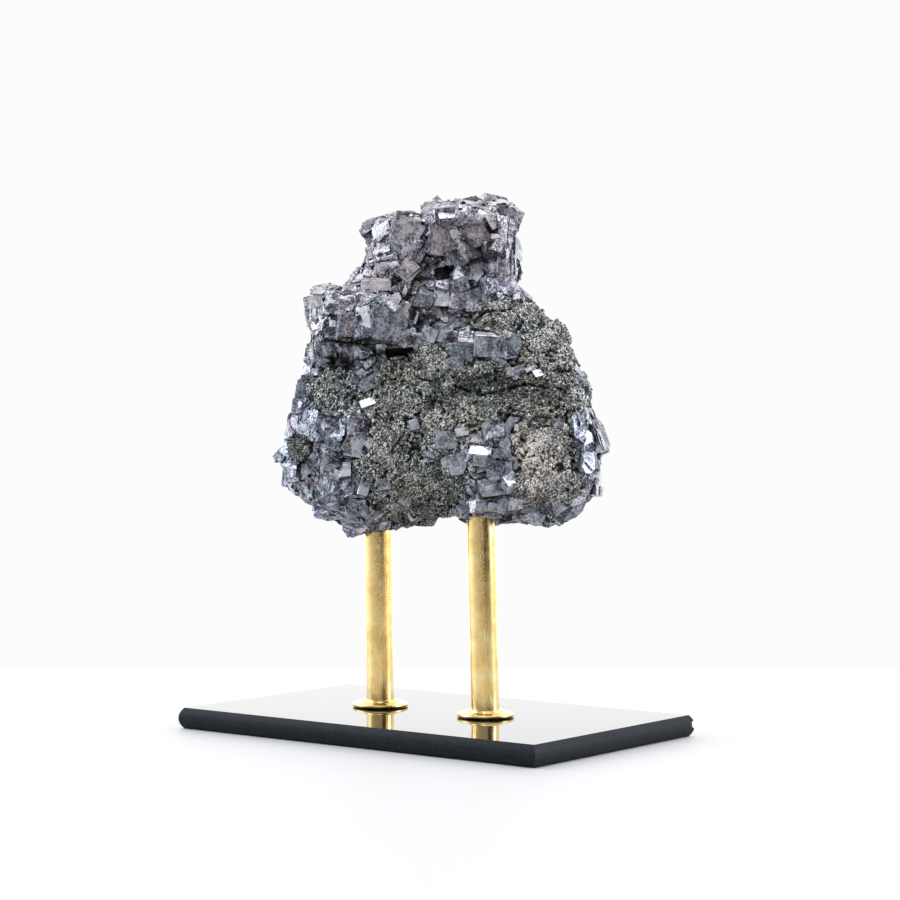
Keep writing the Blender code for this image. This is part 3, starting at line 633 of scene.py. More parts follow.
def cleaved_galena():
    """Lead-grey galena: metallic, each cleavage face with its own dull tarnish, bluish to
    pinkish, its surface finely pitted and stepped, with painted shade, near black, down in the gaps and the hollows."""
    galena = bpy.data.materials.new("cleaved_galena")
    galena.use_nodes = True
    tree = galena.node_tree
    shader = tree.nodes["Principled BSDF"]
    place = add_node(tree, "ShaderNodeTexCoord").outputs["Object"]
    uv = add_node(tree, "ShaderNodeUVMap", uv_map="cleavage").outputs[0]
    tone = add_node(tree, "ShaderNodeAttribute", attribute_name="tone").outputs["Fac"]
    hue = add_node(tree, "ShaderNodeAttribute", attribute_name="hue").outputs["Fac"]
    fresh = add_node(tree, "ShaderNodeAttribute", attribute_name="fresh").outputs["Fac"]
    # pits 0.4 mm across, in patches 5 mm across
    patches = add_node(tree, "ShaderNodeTexNoise", {"Vector": place, "Scale": 200.0, "Detail": 3.0})
    pits = add_node(tree, "ShaderNodeTexNoise", {"Vector": place, "Scale": 1000.0, "Detail": 3.0, "Roughness": 0.7})
    grit = add_node(
        tree, "ShaderNodeMath", {0: patches.outputs[0], 1: 0.6, 2: pits.outputs[0]}, operation="MULTIPLY_ADD"
    )
    lead = add_node(
        tree, "ShaderNodeMath", {0: grit.outputs[0], 1: 2.8, 2: -2.05}, operation="MULTIPLY_ADD"
    )
    # Painted light and shade from the galena's table of regions, added to each facet's tone.
    painted_light_and_tone = add_node(tree, "ShaderNodeAttribute", attribute_name="painted_light_and_tone").outputs["Fac"]
    shade = add_node(tree, "ShaderNodeMath", {0: tone, 1: painted_light_and_tone}, operation="ADD")
    both = add_node(tree, "ShaderNodeMath", {0: shade.outputs[0], 1: lead.outputs[0]}, operation="ADD")
    grey = add_node(tree, "ShaderNodeValToRGB", {"Fac": both.outputs[0]})
    set_ramp(
        grey,
        [
            (0.0, linear("#2C2D33")),
            (0.3, linear("#6C6D75")),
            (0.6, linear("#93949B")),
            (1.0, linear("#D2D3D8")),
        ],
    )
    stain = add_node(tree, "ShaderNodeTexNoise", {"Vector": place, "Scale": 45.0, "Detail": 2.0})
    hue = add_node(
        tree,
        "ShaderNodeMath",
        {0: stain.outputs[0], 1: 1.5, 2: add_node(tree, "ShaderNodeMath", {0: hue, 1: -0.75}, operation="ADD").outputs[0]},
        operation="MULTIPLY_ADD",
    )
    tint = add_node(tree, "ShaderNodeValToRGB", {"Fac": hue.outputs[0]})
    set_ramp(
        tint,
        [
            (0.05, linear("#D0DAE3")),
            (0.40, linear("#E4E8EB")),
            (0.65, linear("#EBE3E8")),
            (0.95, linear("#EADDDC")),
        ],
    )
    stained = add_node(
        tree,
        "ShaderNodeMix",
        {0: 0.9, 6: grey.outputs[0], 7: tint.outputs[0]},
        data_type="RGBA",
        blend_type="MULTIPLY",
    )
    clean = add_node(
        tree, "ShaderNodeMix", {0: fresh, 6: stained.outputs[2], 7: linear("#D9DBE2")}, data_type="RGBA"
    )
    # Painted shade: the colour is darkened towards black where ambient occlusion finds other surfaces within 5 mm, down
    # in the gaps.
    gaps = add_node(tree, "ShaderNodeAmbientOcclusion", {"Distance": 5.0 * MM}, samples=6)
    painted_shade = add_node(tree, "ShaderNodeValToRGB", {"Fac": gaps.outputs["AO"]})
    set_ramp(painted_shade, [(0.15, (0.02, 0.02, 0.025, 1)), (0.50, (0.55, 0.55, 0.56, 1)), (0.80, (1, 1, 1, 1))])
    with_painted_shade = add_node(
        tree,
        "ShaderNodeMix",
        {0: 1.0, 6: clean.outputs[2], 7: painted_shade.outputs[0]},
        data_type="RGBA",
        blend_type="MULTIPLY",
    )
    # Painted shade: the galena in the show side's hollows is painted near black.
    painted_hollow_shade = add_node(tree, "ShaderNodeAttribute", attribute_name="painted_shade").outputs["Fac"]
    black = add_node(
        tree, "ShaderNodeMix", {0: painted_hollow_shade, 6: with_painted_shade.outputs[2], 7: linear("#141416")}, data_type="RGBA"
    )
    tree.links.new(black.outputs[2], shader.inputs["Base Color"])
    shader.inputs["Metallic"].default_value = 0.9
    dull = add_node(
        tree,
        "ShaderNodeMapRange",
        {"Value": patches.outputs[0], "From Min": 0.3, "From Max": 0.7, "To Min": 0.2, "To Max": 0.4},
    )
    gloss = add_node(tree, "ShaderNodeMix", {0: fresh, 2: dull.outputs[0], 3: 0.3}, data_type="FLOAT")
    tree.links.new(gloss.outputs[0], shader.inputs["Roughness"])
    split = add_node(tree, "ShaderNodeSeparateXYZ", {0: uv})
    steps_u = add_node(
        tree, "ShaderNodeTexNoise", {"W": split.outputs[0], "Scale": 0.9, "Detail": 4.0}, noise_dimensions="1D"
    )
    steps_v = add_node(
        tree, "ShaderNodeTexNoise", {"W": split.outputs[1], "Scale": 0.7, "Detail": 4.0}, noise_dimensions="1D"
    )
    steps = add_node(tree, "ShaderNodeMath", {0: steps_u.outputs[0], 1: steps_v.outputs[0]}, operation="ADD")
    relief = add_node(
        tree, "ShaderNodeMath", {0: steps.outputs[0], 1: 0.5, 2: pits.outputs[0]}, operation="MULTIPLY_ADD"
    )
    bump = add_node(
        tree, "ShaderNodeBump", {"Strength": 0.75, "Distance": 0.32 * MM, "Height": relief.outputs[0]}
    )
    tree.links.new(bump.outputs[0], shader.inputs["Normal"])
    return galena


solid = merged_solid()
solid.faces.ensure_lookup_table()
solid_tree = BVHTree.FromBMesh(solid)
stepped = solid.copy()
add_terraces(stepped)
large = bpy.data.meshes.new("large_crystals")
stepped.to_mesh(large)
stepped.free()
large.attributes.new("exposed", "FLOAT", "FACE").data.foreach_set("value", [1.0] * len(large.polygons))
large_looks = facet_looks(large, 1)

# ---------------------------------------------------------------------------- lesser crystals
# Between and over the large crystals the galena is a tight mass of cubes 4 to 10 mm across,
# and smaller ones down to 1 mm in the gaps. They grew into each other, so most are sunk deep
# and only a face or a corner shows; many lost a corner when the piece was broken out.

SHOWN = (  # across, up, width, height in mm; spin, yaw and pitch in degrees; tone, hue, gloss
    (4.6, 223.4, 8.6, 15.6, -8, 8, 5, 0.50, 0.85, 0),
    (5.8, 234.8, 9, 5, 4, 0, -12, 0.2, 0.7, 0),
    (-1.6, 235.4, 7, 7.5, 8, -5, 10, 0.6, 0.5, 0),
    (-10.7, 227.3, 13, 10, -30, -10, 12, 0.65, 0.45, 0),
    (-13.8, 220.7, 7.5, 7.5, 32, -15, 0, 0.4, 0.1, 0),
    (-10.7, 210.9, 7.5, 8, 40, -8, 15, 0.8, 0.9, 0.15),
    (-0.1, 215.6, 3.6, 2.4, -35, -20, 45, 0.9, 1.0, 0.8),
    (16.7, 218.5, 9.4, 6.5, 22, 10, 25, 0.6, 0.4, 0),
    (20.9, 225.5, 9, 10, 30, 15, 8, 0.5, 0.9, 0),
    (-22.9, 226, 9, 9, 20, -30, 20, 0.95, 0.05, 0.2),
    (-25.5, 202.7, 14, 6.3, 0, -10, 20, 0.85, 0.45, 0.1),
    (-2.4, 196, 7.8, 8.6, -18, 12, -8, 0.25, 0.0, 0),
    (15.9, 196.8, 14, 11, 15, 5, 5, 0.5, 0.1, 0),
    (5.0, 202.3, 5.5, 4, -12, 5, 25, 0.85, 0.9, 0.2),
    (12.8, 202.5, 8, 6, 20, 10, 0, 0.35, 0.5, 0),
    (11.2, 207, 5, 5.5, 45, -15, 30, 0.9, 0.05, 0.5),
    (-31.2, 187, 7, 12, 8, -24, 12, 1.0, 0.6, 0.8),
    (-20.4, 185.9, 13.3, 13.3, -5, 5, 2, 0.5, 0.5, 0),
    (-38.9, 184.5, 7, 11, 0, -12, 0, 0.5, 0.95, 0),
    (-16.9, 195.3, 7, 6, 22, 0, 20, 0.8, 0.95, 0.15),
    (-12.6, 200, 3.4, 5, 12, 15, 20, 0.9, 0.9, 0.4),
    (-8.3, 181.2, 4, 5, 30, 10, 10, 0.6, 0.5, 0),
    (-47, 172.8, 5, 5, 10, -10, 10, 0.6, 0.6, 0),
    (-38.4, 170.8, 5, 6, -12, 5, 12, 0.65, 0.6, 0),
    (-30.6, 171.8, 5.5, 5, 15, -5, 10, 0.6, 0.5, 0),
    (-57, 164.6, 6, 7, 10, -30, 25, 0.9, 0.1, 0.5),
    (-58, 155.3, 8, 8, -10, -15, 10, 0.55, 0.3, 0),
    (-27.7, 158.4, 11, 5.5, 30, -5, 5, 0.4, 0.3, 0),
    (-29.3, 149.4, 7, 4.6, 25, -15, 40, 1, 0.4, 1),
    (-36.4, 138.5, 7, 9, 8, -12, 10, 0.85, 0.05, 0.1),
    (-35.5, 129, 8, 9, -10, -8, 12, 0.8, 0.1, 0.1),
    (-39.8, 118.9, 6, 7, 5, -15, 20, 0.9, 0.3, 0.3),
    (-59, 118.1, 9, 8, -8, -15, 15, 0.8, 0.2, 0.1),
    (24.5, 174.4, 10, 9, 0, 4, 0, 0.5, 0.4, 0),
    (25.5, 180.6, 12, 5, -6, 0, 58, 0.9, 1, 0.3),
    (36.4, 174.4, 9, 10, 12, 14, 0, 0.4, 0.3, 0),
    (12.1, 173.4, 12, 11, 0, -6, 0, 0.35, 0.15, 0),
    (9.8, 166.5, 8, 7, 25, -4, 4, 0.55, 0.05, 0),
    (6.7, 132.2, 10, 8, 0, 0, 10, 0.6, 0.2, 0),
    (21.5, 127.6, 9, 5, -8, -6, 42, 1, 0.4, 1),
    (22.3, 122.6, 7.5, 5, -3, 5, 8, 0.75, 0.4, 0),
    (12.1, 121.3, 8.6, 9.4, 10, -5, 8, 0.7, 0.1, 0),
    (5.9, 122.9, 4, 6, 20, -10, 20, 0.85, 0.1, 0),
    (30.1, 118.6, 10, 7.5, -5, 6, -3, 0.3, 0.05, 0),
    (34.2, 113.7, 5, 6.5, 35, 0, 45, 1, 0.4, 1),
    (27.8, 110.4, 11, 7, 8, 3, 5, 0.5, 0.8, 0),
    (23.9, 106.5, 8, 5, 0, 0, 30, 0.8, 0.3, 0.1),
    (14.5, 101.8, 6, 5, 30, 0, 20, 0.8, 0.05, 0.1),
    (-12.1, 104.9, 6, 5, -25, 0, 15, 0.75, 0.1, 0),
    (48, 162.6, 4, 4, 20, 10, 40, 1, 0.4, 0.9),
    (21.5, 102.6, 9, 5.5, 8, -4, 8, 0.6, 0.3, 0),
    (29.5, 102.3, 8, 5, -12, 6, 8, 0.65, 0.5, 0),
    (25.0, 99.6, 13, 5, -3, 0, 5, 0.5, 0.4, 0),
    (28.5, 231.5, 7, 7, 25, 20, 25, 0.55, 0.6, 0),
    (13.5, 231.5, 7, 6, -15, -12, 20, 0.45, 0.9, 0),
    (-18.5, 233, 6, 5, 12, -20, 30, 0.7, 0.3, 0),
    (29.5, 221.5, 6, 8, -20, 25, 10, 0.6, 0.8, 0),
    (9.5, 211.5, 6, 5, 38, 10, 22, 0.5, 0.6, 0),
    (-4.5, 224.5, 6, 7, 28, -18, 8, 0.4, 0.7, 0),
    (-27.5, 217.5, 6, 6, 18, -25, 15, 0.75, 0.2, 0.1),
    (-9, 139, 6, 5, 15, -8, 12, 0.7, 0.1, 0),
    (0, 126, 5, 4, -20, 5, 15, 0.75, 0.1, 0),
    (-22, 112, 6, 5, 10, -10, 10, 0.6, 0.3, 0),
    (13.5, 136, 6, 4, 10, 0, 20, 0.8, 0.1, 0.1),
    (-31, 110, 5, 6, -15, -10, 10, 0.7, 0.3, 0),
    (57, 140, 5, 4, 20, 10, 10, 0.5, 0.3, 0),
    (-20, 147, 4, 4, 10, 0, 5, 0.4, 0.2, 0),
)
SHOWN_RISE = 0.5  # mm
# In the galena these hollows are also painted near black, as painted shade.
HOLLOWS = (  # kept clear on the show side: (across, up), half width and half height in mm
    (-16, 171.8, 10.5, 3.2),
    (-36, 176.6, 17, 2.2),
    (-42, 167, 7, 5),
    (6, 208, 5, 3.5),
    (-4, 205, 4.5, 1.5),
    (-9, 190, 2, 4.5),
    (-1, 188, 4.5, 1.8),
    (20.5, 213.5, 6, 1.6),
    (65, 149.5, 3, 2.5),
)
UNDER_MATRIX = 1.6  # mm
STANDS_OUT = (0.4, 2.4)  # mm past the general shape, with its swing; the rest is pressed back
WEAR = 0.22  # how far edges and corners are worn down, as a share
MEDIUM_CRYSTALS = 1150
MEDIUM_EDGE = (4.0, 11.0)  # mm
MEDIUM_RISE = (-0.7, 0.7)
SMALL_CRYSTALS = 3200
SMALL_EDGE = (0.8, 2.2)
CREVICE_REACH = 5.0
WIDE_FACE = 45.0  # mm2: lesser crystals keep off larger faces than this, mostly


def smooth_envelope():
    """The specimen's general shape, with its crystals worn away: what the others sit along."""
    host = bpy.data.objects.new("envelope", frame["nodes"]["galena_specimen"].data.copy())
    bpy.context.scene.collection.objects.link(host)
    remesh = host.modifiers.new("remesh", "REMESH")
    remesh.mode = "VOXEL"
    remesh.voxel_size = 2.5 * MM
    smooth = host.modifiers.new("worn", "SMOOTH")
    smooth.iterations = 10
    bpy.context.view_layer.update()
    mesh = bpy.data.meshes.new_from_object(host.evaluated_get(bpy.context.evaluated_depsgraph_get()))
    bpy.data.objects.remove(host)
    return mesh


def surface_points(meshes, count, seed):
    """Random points over the meshes, each with the way out from its face."""
    corners = []
    for mesh in meshes:
        mesh.calc_loop_triangles()
        places = np.array([vert.co for vert in mesh.vertices])
        corners.append(places[np.array([triangle.vertices for triangle in mesh.loop_triangles])])
    a, b, c = np.moveaxis(np.concatenate(corners), 1, 0)
    cross = np.cross(b - a, c - a)
    area = np.linalg.norm(cross, axis=1)
    chance = np.random.default_rng(seed)
    chosen = chance.choice(len(area), count, p=area / area.sum())
    first = np.sqrt(chance.random(count))[:, None]
    second = chance.random(count)[:, None]
    points = a[chosen] * (1 - first) + b[chosen] * first * (1 - second) + c[chosen] * first * second
    return points, cross[chosen] / area[chosen][:, None]


def tree_of(meshes):
    points, faces = [], []
    for mesh in meshes:
        known = len(points)
        points += [vert.co.copy() for vert in mesh.vertices]
        faces += [[known + corner for corner in polygon.vertices] for polygon in mesh.polygons]
    return BVHTree.FromPolygons(points, faces)


def crowding(points, normals, surfaces, seed):
    """How closed in each point is, from 0 on an open face to 1 in a gap; -1 where buried."""
    chance = np.random.default_rng(seed)
    rays = 8
    found = np.zeros(len(points))
    for _ in range(rays):
        aims = normals + chance.normal(0, 0.75, normals.shape)
        aims /= np.linalg.norm(aims, axis=1)[:, None]
        for i in np.flatnonzero((aims * normals).sum(1) > 0.1):
            start = Vector(points[i] + normals[i] * 0.05 * MM)
            found[i] += surfaces.ray_cast(start, Vector(aims[i]), CREVICE_REACH * MM)[0] is not None
    for i in range(len(points)):
        out = Vector(normals[i])
        _, facing, _, _ = surfaces.ray_cast(Vector(points[i]) + out * 0.05 * MM, out, 25 * MM)
        if facing is not None and facing.dot(out) > 0:
            found[i] = -rays
    return found / rays


def random_frames(normals, most_tilt, chance):
    """For each normal, a turn whose Z leans up to so many degrees off it, spun at random."""
    count = len(normals)
    helper = chance.normal(size=(count, 3))
    side = np.cross(normals, helper)
    side /= np.linalg.norm(side, axis=1)[:, None]
    lean = (np.radians(most_tilt) * np.sqrt(chance.random(count)))[:, None]
    z = normals * np.cos(lean) + side * np.sin(lean)
    x = np.cross(z, chance.normal(size=(count, 3)))
    x /= np.linalg.norm(x, axis=1)[:, None]
    return np.stack([x, np.cross(z, x), z], axis=-1)


def crystal_shapes(count, most_cuts, seed):
    """Closed unit cubes, most with corners or edges broken off: lists of points and faces."""
    chance = random.Random(seed)
    shapes = []
    for _ in range(count):
        bm = bmesh.new()
        bmesh.ops.create_cube(bm, size=1.0)
        for _ in range(chance.randint(0, most_cuts)):
            way = Vector((chance.choice((-1, 1)), chance.choice((-1, 1)), chance.uniform(0, 1.2)))
            way = Vector((way.x * chance.random(), way.y * chance.random(), way.z)).normalized()
            reach = max(vert.co.dot(way) for vert in bm.verts)
            cut = bmesh.ops.bisect_plane(
                bm,
                geom=bm.verts[:] + bm.edges[:] + bm.faces[:],
                plane_co=way * (reach - chance.uniform(0.08, 0.35)),
                plane_no=way,
                clear_outer=True,
            )
            rim = [item for item in cut["geom_cut"] if isinstance(item, bmesh.types.BMEdge)]
            bmesh.ops.contextual_create(bm, geom=rim)
        bmesh.ops.recalc_face_normals(bm, faces=bm.faces)
        bm.verts.index_update()
        points = np.array([vert.co for vert in bm.verts])
        shapes.append((points, [[vert.index for vert in face.verts] for face in bm.faces]))
        bm.free()
    return shapes


def mark_exposed(mesh, outward):
    """Marks the faces that look outward, given each face's way out of the specimen."""
    normals = np.array([polygon.normal for polygon in mesh.polygons])
    layer = mesh.attributes.new("exposed", "FLOAT", "FACE")
    layer.data.foreach_set("value", ((normals * outward).sum(1) > -0.2).astype(np.float32))


def shown_crystals():
    """The crystals that make the show side what it is, each with its place and turn."""
    shapes = crystal_shapes(12, 1, 6)
    chance = random.Random(6)
    points, faces, given, ways = [], [], [], []
    for across, up, width, height, spin, yaw, pitch, *look in SHOWN:
        eye = TO_WORLD @ (SHOW_EYE * MM)
        aim = (TO_WORLD @ (Vector((across, 0, up)) * MM) - eye).normalized()
        hit = solid_tree.ray_cast(eye, aim)[0]
        if hit is None:
            continue
        upright = Vector((0, 0, 1))
        right = aim.cross(upright).normalized()
        turn = Matrix.Rotation(math.radians(yaw), 3, upright) @ Matrix.Rotation(-math.radians(pitch), 3, right)
        frame_axes = Matrix((right, -aim.cross(right), -aim)).transposed()
        turn = turn @ frame_axes @ Matrix.Rotation(math.radians(spin), 3, "Z")
        depth = min(width, height) * 0.9
        outward = turn.col[2]
        rise = SHOWN_RISE + 2.0 * matrix_share(np.array([hit]))[0]
        middle = hit - aim * rise * MM - outward * depth / 2 * MM
        corners, outlines = shapes[chance.randrange(len(shapes))]
        known = len(points)
        placed = [middle + turn @ Vector(c * v * MM for c, v in zip(corner, (width, height, depth))) for corner in corners]
        points += placed
        for outline in outlines:
            a, b, c = (placed[corner] for corner in outline[:3])
            facing = (b - a).cross(c - a).normalized().dot(outward) > 0.9
            faces.append([known + corner for corner in outline])
            given.append(look if facing else None)
            ways.append(outward)
    mesh = bpy.data.meshes.new("shown_crystals")
    mesh.from_pydata(points, [], faces)
    mark_exposed(mesh, np.array(ways))
    return mesh, facet_looks(mesh, 6, given)


def clear_of_shown(points, margin):
    """Whether each point keeps off the shown crystals' faces and the hollows."""
    across, up, front = to_show_plane(points)
    clear = np.ones(len(points), bool)
    for x, z, width, height, *_ in SHOWN:
        clear &= ~(front & (np.hypot((across - x) / (width / 2 + margin), (up - z) / (height / 2 + margin)) < 1))
    for x, z, wide, tall in HOLLOWS:
        clear &= ~(front & (abs(across - x) < wide + margin) & (abs(up - z) < tall + margin))
    return clear


def crystal_mesh(name, shapes, middles, turns, sides, seed):
    """Many closed crystals as one mesh, with their looks."""
    picks = np.random.default_rng(seed).integers(0, len(shapes), len(middles))
    points, faces, known = [], [], 0
    for middle, turn, side, pick in zip(middles, turns, sides, picks):
        corners, outlines = shapes[pick]
        points.append((corners * side) @ turn.T + middle)
        faces += [[known + corner for corner in outline] for outline in outlines]
        known += len(corners)
    mesh = bpy.data.meshes.new(name)
    mesh.from_pydata(np.concatenate(points).tolist(), [], faces)
    outward = np.concatenate([[turn[:, 2]] * len(shapes[pick][1]) for turn, pick in zip(turns, picks)])
    mark_exposed(mesh, outward)
    return mesh, facet_looks(mesh, seed)


def medium_crystals():
    """A mosaic of sunken crystals that lies along the specimen's general shape."""
    chance = np.random.default_rng(21)
    points, normals = surface_points([envelope], MEDIUM_CRYSTALS * 5, 21)
    wide = np.array([face.calc_area() / MM**2 for face in solid.faces])
    on_face = np.array([wide[solid_tree.find_nearest(Vector(point))[2]] for point in points])
    up = to_show_plane(points)[1]
    keep = (matrix_share(points) < 0.35) & clear_of_shown(points, 1.5)
    keep &= chance.random(len(points)) < np.clip(1.25 - on_face / WIDE_FACE, 0.12 + 0.45 * (up > 203), 1)
    points, normals = points[keep][:MEDIUM_CRYSTALS], normals[keep][:MEDIUM_CRYSTALS]
    edge = (MEDIUM_EDGE[0] + (MEDIUM_EDGE[1] - MEDIUM_EDGE[0]) * chance.random(len(points)) ** 1.5) * MM
    sides = edge[:, None] * chance.uniform(0.75, 1.25, (len(points), 3)) * (1, 1, 0.6)
    up = to_show_plane(points)[1]
    loose = np.clip((up - 170) / 20, 0, 1) * np.clip((222 - up) / 10, 0, 1)
    turns = random_frames(normals, 12 + 16 * loose, chance)
    rise = chance.uniform(*MEDIUM_RISE, len(points)) - np.clip((100 - up) / 8, 0, 1)
    rise = (rise - 1.4 * np.clip((up - 226) / 6, 0, 1)) * MM
    middles = points - normals * (sides[:, 2] / 2 - rise)[:, None]
    return crystal_mesh("medium_crystals", crystal_shapes(24, 3, 3), middles, turns, sides, 21)


def small_crystals(grounds):
    """Little cubes in the gaps of the ground that the larger ones make."""
    chance = np.random.default_rng(22)
    points, normals = surface_points(grounds, SMALL_CRYSTALS * 9, 22)
    keep = (matrix_share(points) < 0.35) & clear_of_shown(points, -0.8)
    points, normals = points[keep], normals[keep]
    closed = crowding(points, normals, tree_of(grounds), 22)
    likely = np.where(closed < 0, 0, 2.2 * (closed - 0.2))
    keep = np.flatnonzero(chance.random(len(points)) < likely)[:SMALL_CRYSTALS]
    points, normals = points[keep], normals[keep]
    edge = (SMALL_EDGE[0] + (SMALL_EDGE[1] - SMALL_EDGE[0]) * chance.random(len(points)) ** 1.6) * MM
    sides = edge[:, None] * chance.uniform(0.7, 1.2, (len(points), 3))
    turns = random_frames(normals, 50, chance)
    middles = points - normals * (edge * chance.uniform(0.2, 0.45, len(points)))[:, None]
    return crystal_mesh("small_crystals", crystal_shapes(8, 1, 4), middles, turns, sides, 22)


def hollow_share(points):
    """1 down in the hollows of the show side, where the galena is painted black as shade."""
    across, up, front = to_show_plane(points)
    share = np.zeros(len(points))
    for x, z, wide, tall in HOLLOWS:
        reach = np.hypot((across - x) / wide, (up - z) / tall) + 0.25 * np.sin(across * 1.7 + up) * np.sin(up * 1.3)
        share = np.maximum(share, front * np.clip((1.1 - reach) / 0.5, 0, 0.9))
    return share


def chip(mesh, longest, deep, seed, sunk=0.0):
    """Breaks the exposed faces into facets no wider than longest, set unevenly, and sinks
    them where the matrix covers them; all in mm."""
    chance = random.Random(seed)
    bm = bmesh.new()
    bm.from_mesh(mesh)
    exposed = bm.faces.layers.float["exposed"]
    for _ in range(4):
        whole = [face for face in bm.faces if len(face.verts) > 3 and face[exposed] > 0.5]
        bmesh.ops.triangulate(bm, faces=whole)
        long_edges = [
            edge
            for edge in bm.edges
            if edge.calc_length() > longest * MM and any(face[exposed] > 0.5 for face in edge.link_faces)
        ]
        if long_edges:
            bmesh.ops.subdivide_edges(bm, edges=long_edges, cuts=1)
    bmesh.ops.triangulate(bm, faces=bm.faces)
    for axis in "x", "y", "z":
        bmesh.ops.smooth_vert(bm, verts=bm.verts, factor=WEAR, **{f"use_axis_{axis}": True})
    bm.normal_update()
    covered = matrix_share(np.array([vert.co for vert in bm.verts])) * sunk
    moves = [
        vert.normal
        * ((noise.noise(vert.co / (2.2 * MM)) * 1.4 + chance.uniform(-0.5, 0.5)) * deep - down)
        * MM
        for vert, down in zip(bm.verts, covered)
    ]
    for vert, move in zip(bm.verts, moves):
        vert.co += move
    bm.to_mesh(mesh)
    bm.free()


def hold_in(mesh):
    """Presses back whatever stands out past both the solid and the general shape."""
    for vert in mesh.vertices:
        past = []
        limit = STANDS_OUT[0] + STANDS_OUT[1] * abs(noise.noise(vert.co / (4 * MM)))
        for surfaces in (solid_tree, envelope_tree):
            near, out = surfaces.find_nearest(vert.co)[:2]
            past.append((vert.co - near).dot(out) / MM - limit)
        if min(past) > 0:
            vert.co -= out * min(past) * 0.8 * MM


def blacken(mesh):
    """Marks the painted shade in the hollows, and the painted light and shade that makes the galena paler in some
    places and darker in others.
    """
    middles = np.array([polygon.center for polygon in mesh.polygons])
    layer = mesh.attributes.new("painted_shade", "FLOAT", "FACE")
    layer.data.foreach_set("value", hollow_share(middles).astype(np.float32))
    layer = mesh.attributes.new("painted_light_and_tone", "FLOAT", "FACE")
    layer.data.foreach_set("value", patch_strength(GALENA_PAINTED_LIGHT, *to_show_plane(middles)).astype(np.float32))


def dress(mesh, facets, source):
    """Gives each face the looks of its source facet, and a UV in mm along that one's axes."""
    looks, axes, starts = facets
    middles = np.array([polygon.center for polygon in mesh.polygons])
    rosy = np.clip((to_show_plane(middles)[1] - 180) / 30, 0, 1)
    looks = looks[source] * (1, 0.7, 1) + rosy[:, None] * (0, 0.3, 0)
    for name, values in zip(("tone", "hue", "fresh"), looks.T):
        layer = mesh.attributes.new(name, "FLOAT", "FACE")
        layer.data.foreach_set("value", values.astype(np.float32))
    uv = mesh.uv_layers.new(name="cleavage")
    corners = np.zeros(len(mesh.loops), np.int32)
    mesh.loops.foreach_get("vertex_index", corners)
    per_corner = np.repeat(source, [len(polygon.vertices) for polygon in mesh.polygons])
    places = np.array([vert.co for vert in mesh.vertices])[corners] / MM
    flat = np.einsum("ij,ikj->ik", places, axes[per_corner]) + starts[per_corner]
    uv.data.foreach_set("uv", flat.ravel().astype(np.float32))


galena = cleaved_galena()
envelope = smooth_envelope()
envelope_tree = tree_of([envelope])
shown, shown_looks = shown_crystals()
medium, medium_looks = medium_crystals()
small, small_looks = small_crystals([large, medium, shown])
for name, mesh, looks, longest, sunk in (
    ("galena_large_crystals", large, large_looks, 2.7, UNDER_MATRIX),
    ("galena_medium_crystals", medium, medium_looks, 3.0, 0.0),
    ("galena_shown_crystals", shown, shown_looks, 2.4, 0.0),
    ("galena_small_crystals", small, small_looks, 3.0, 0.0),
):
    dress(mesh, looks, np.arange(len(mesh.polygons)))
    chip(mesh, longest, 0.10, 2, sunk)
    if mesh != shown:
        hold_in(mesh)
    blacken(mesh)
    link_piece(mesh, name, galena, "galena_specimen" if mesh == large else None)
# ---------------------------------------------------------------------------- pyrite matrix
# Between the galena the matrix shows: dark olive fine-grained pyrite, lumpy on the scale
# of 5 to 14 mm, cracked in places and sugared all over with 1 to 3 mm grains.

BED_VOXEL = 1.5 * MM
BED_SUNK = 1.4 * MM  # how far under the galena the bed runs
CRACKS = (  # (across, up) to (across, up), half width and depth, all in mm
    (19.5, 185.5, 24.5, 189.5, 0.6, 1.4),
    (24.5, 189.5, 35.5, 191, 0.5, 1.4),
    (11, 156.5, 22, 152, 0.45, 1.2),
    (22, 152, 43, 157, 0.45, 1.2),
    (43, 157, 58, 155, 0.5, 1.2),
    (64, 122, 65.5, 121.4, 1.5, 2.2),
    (-18, 127, -12, 136, 0.4, 1.0),
    (-6, 160, 4, 157, 0.4, 1.0),
    (46, 137, 56, 139, 0.4, 1.0),
)


# Paler and darker patches of the matrix; the first, brightest one is a painted glint.
PATCHES = (  # (across, up), half width and height in mm, and how much paler
    (48.5, 131.5, 3.5, 2.2, 0.9),
    (2, 144, 3.5, 3, 0.35),
    (39.8, 138.5, 3, 2.5, 0.4),
    (50, 122, 14, 16, 0.22),
    (26, 158, 22, 5, -0.36),
    (5, 152, 24, 8, -0.1),
    (-40, 155, 10, 10, -0.2),
    (54, 152, 10, 6, -0.25),
    (-60, 130, 8, 9, -0.4),
    (10, 112, 12, 6, -0.15),
)


def crack_depth(across, up, front):
    """How far cracks draw the surface in, in mm."""
    depth = np.zeros(len(across))
    for x0, z0, x1, z1, half, deep in CRACKS:
        length = math.hypot(x1 - x0, z1 - z0)
        along = ((across - x0) * (x1 - x0) + (up - z0) * (z1 - z0)) / length**2
        along = np.clip(along, 0, 1)
        off = np.hypot(across - x0 - along * (x1 - x0), up - z0 - along * (z1 - z0))
        depth = np.maximum(depth, deep * np.clip(1.6 - off / half, 0, 1) * front)
    return depth * np.clip(1.0 + 1.5 * np.sin(across * 0.9) * np.sin(up * 0.7 + across * 0.35), 0, 1)


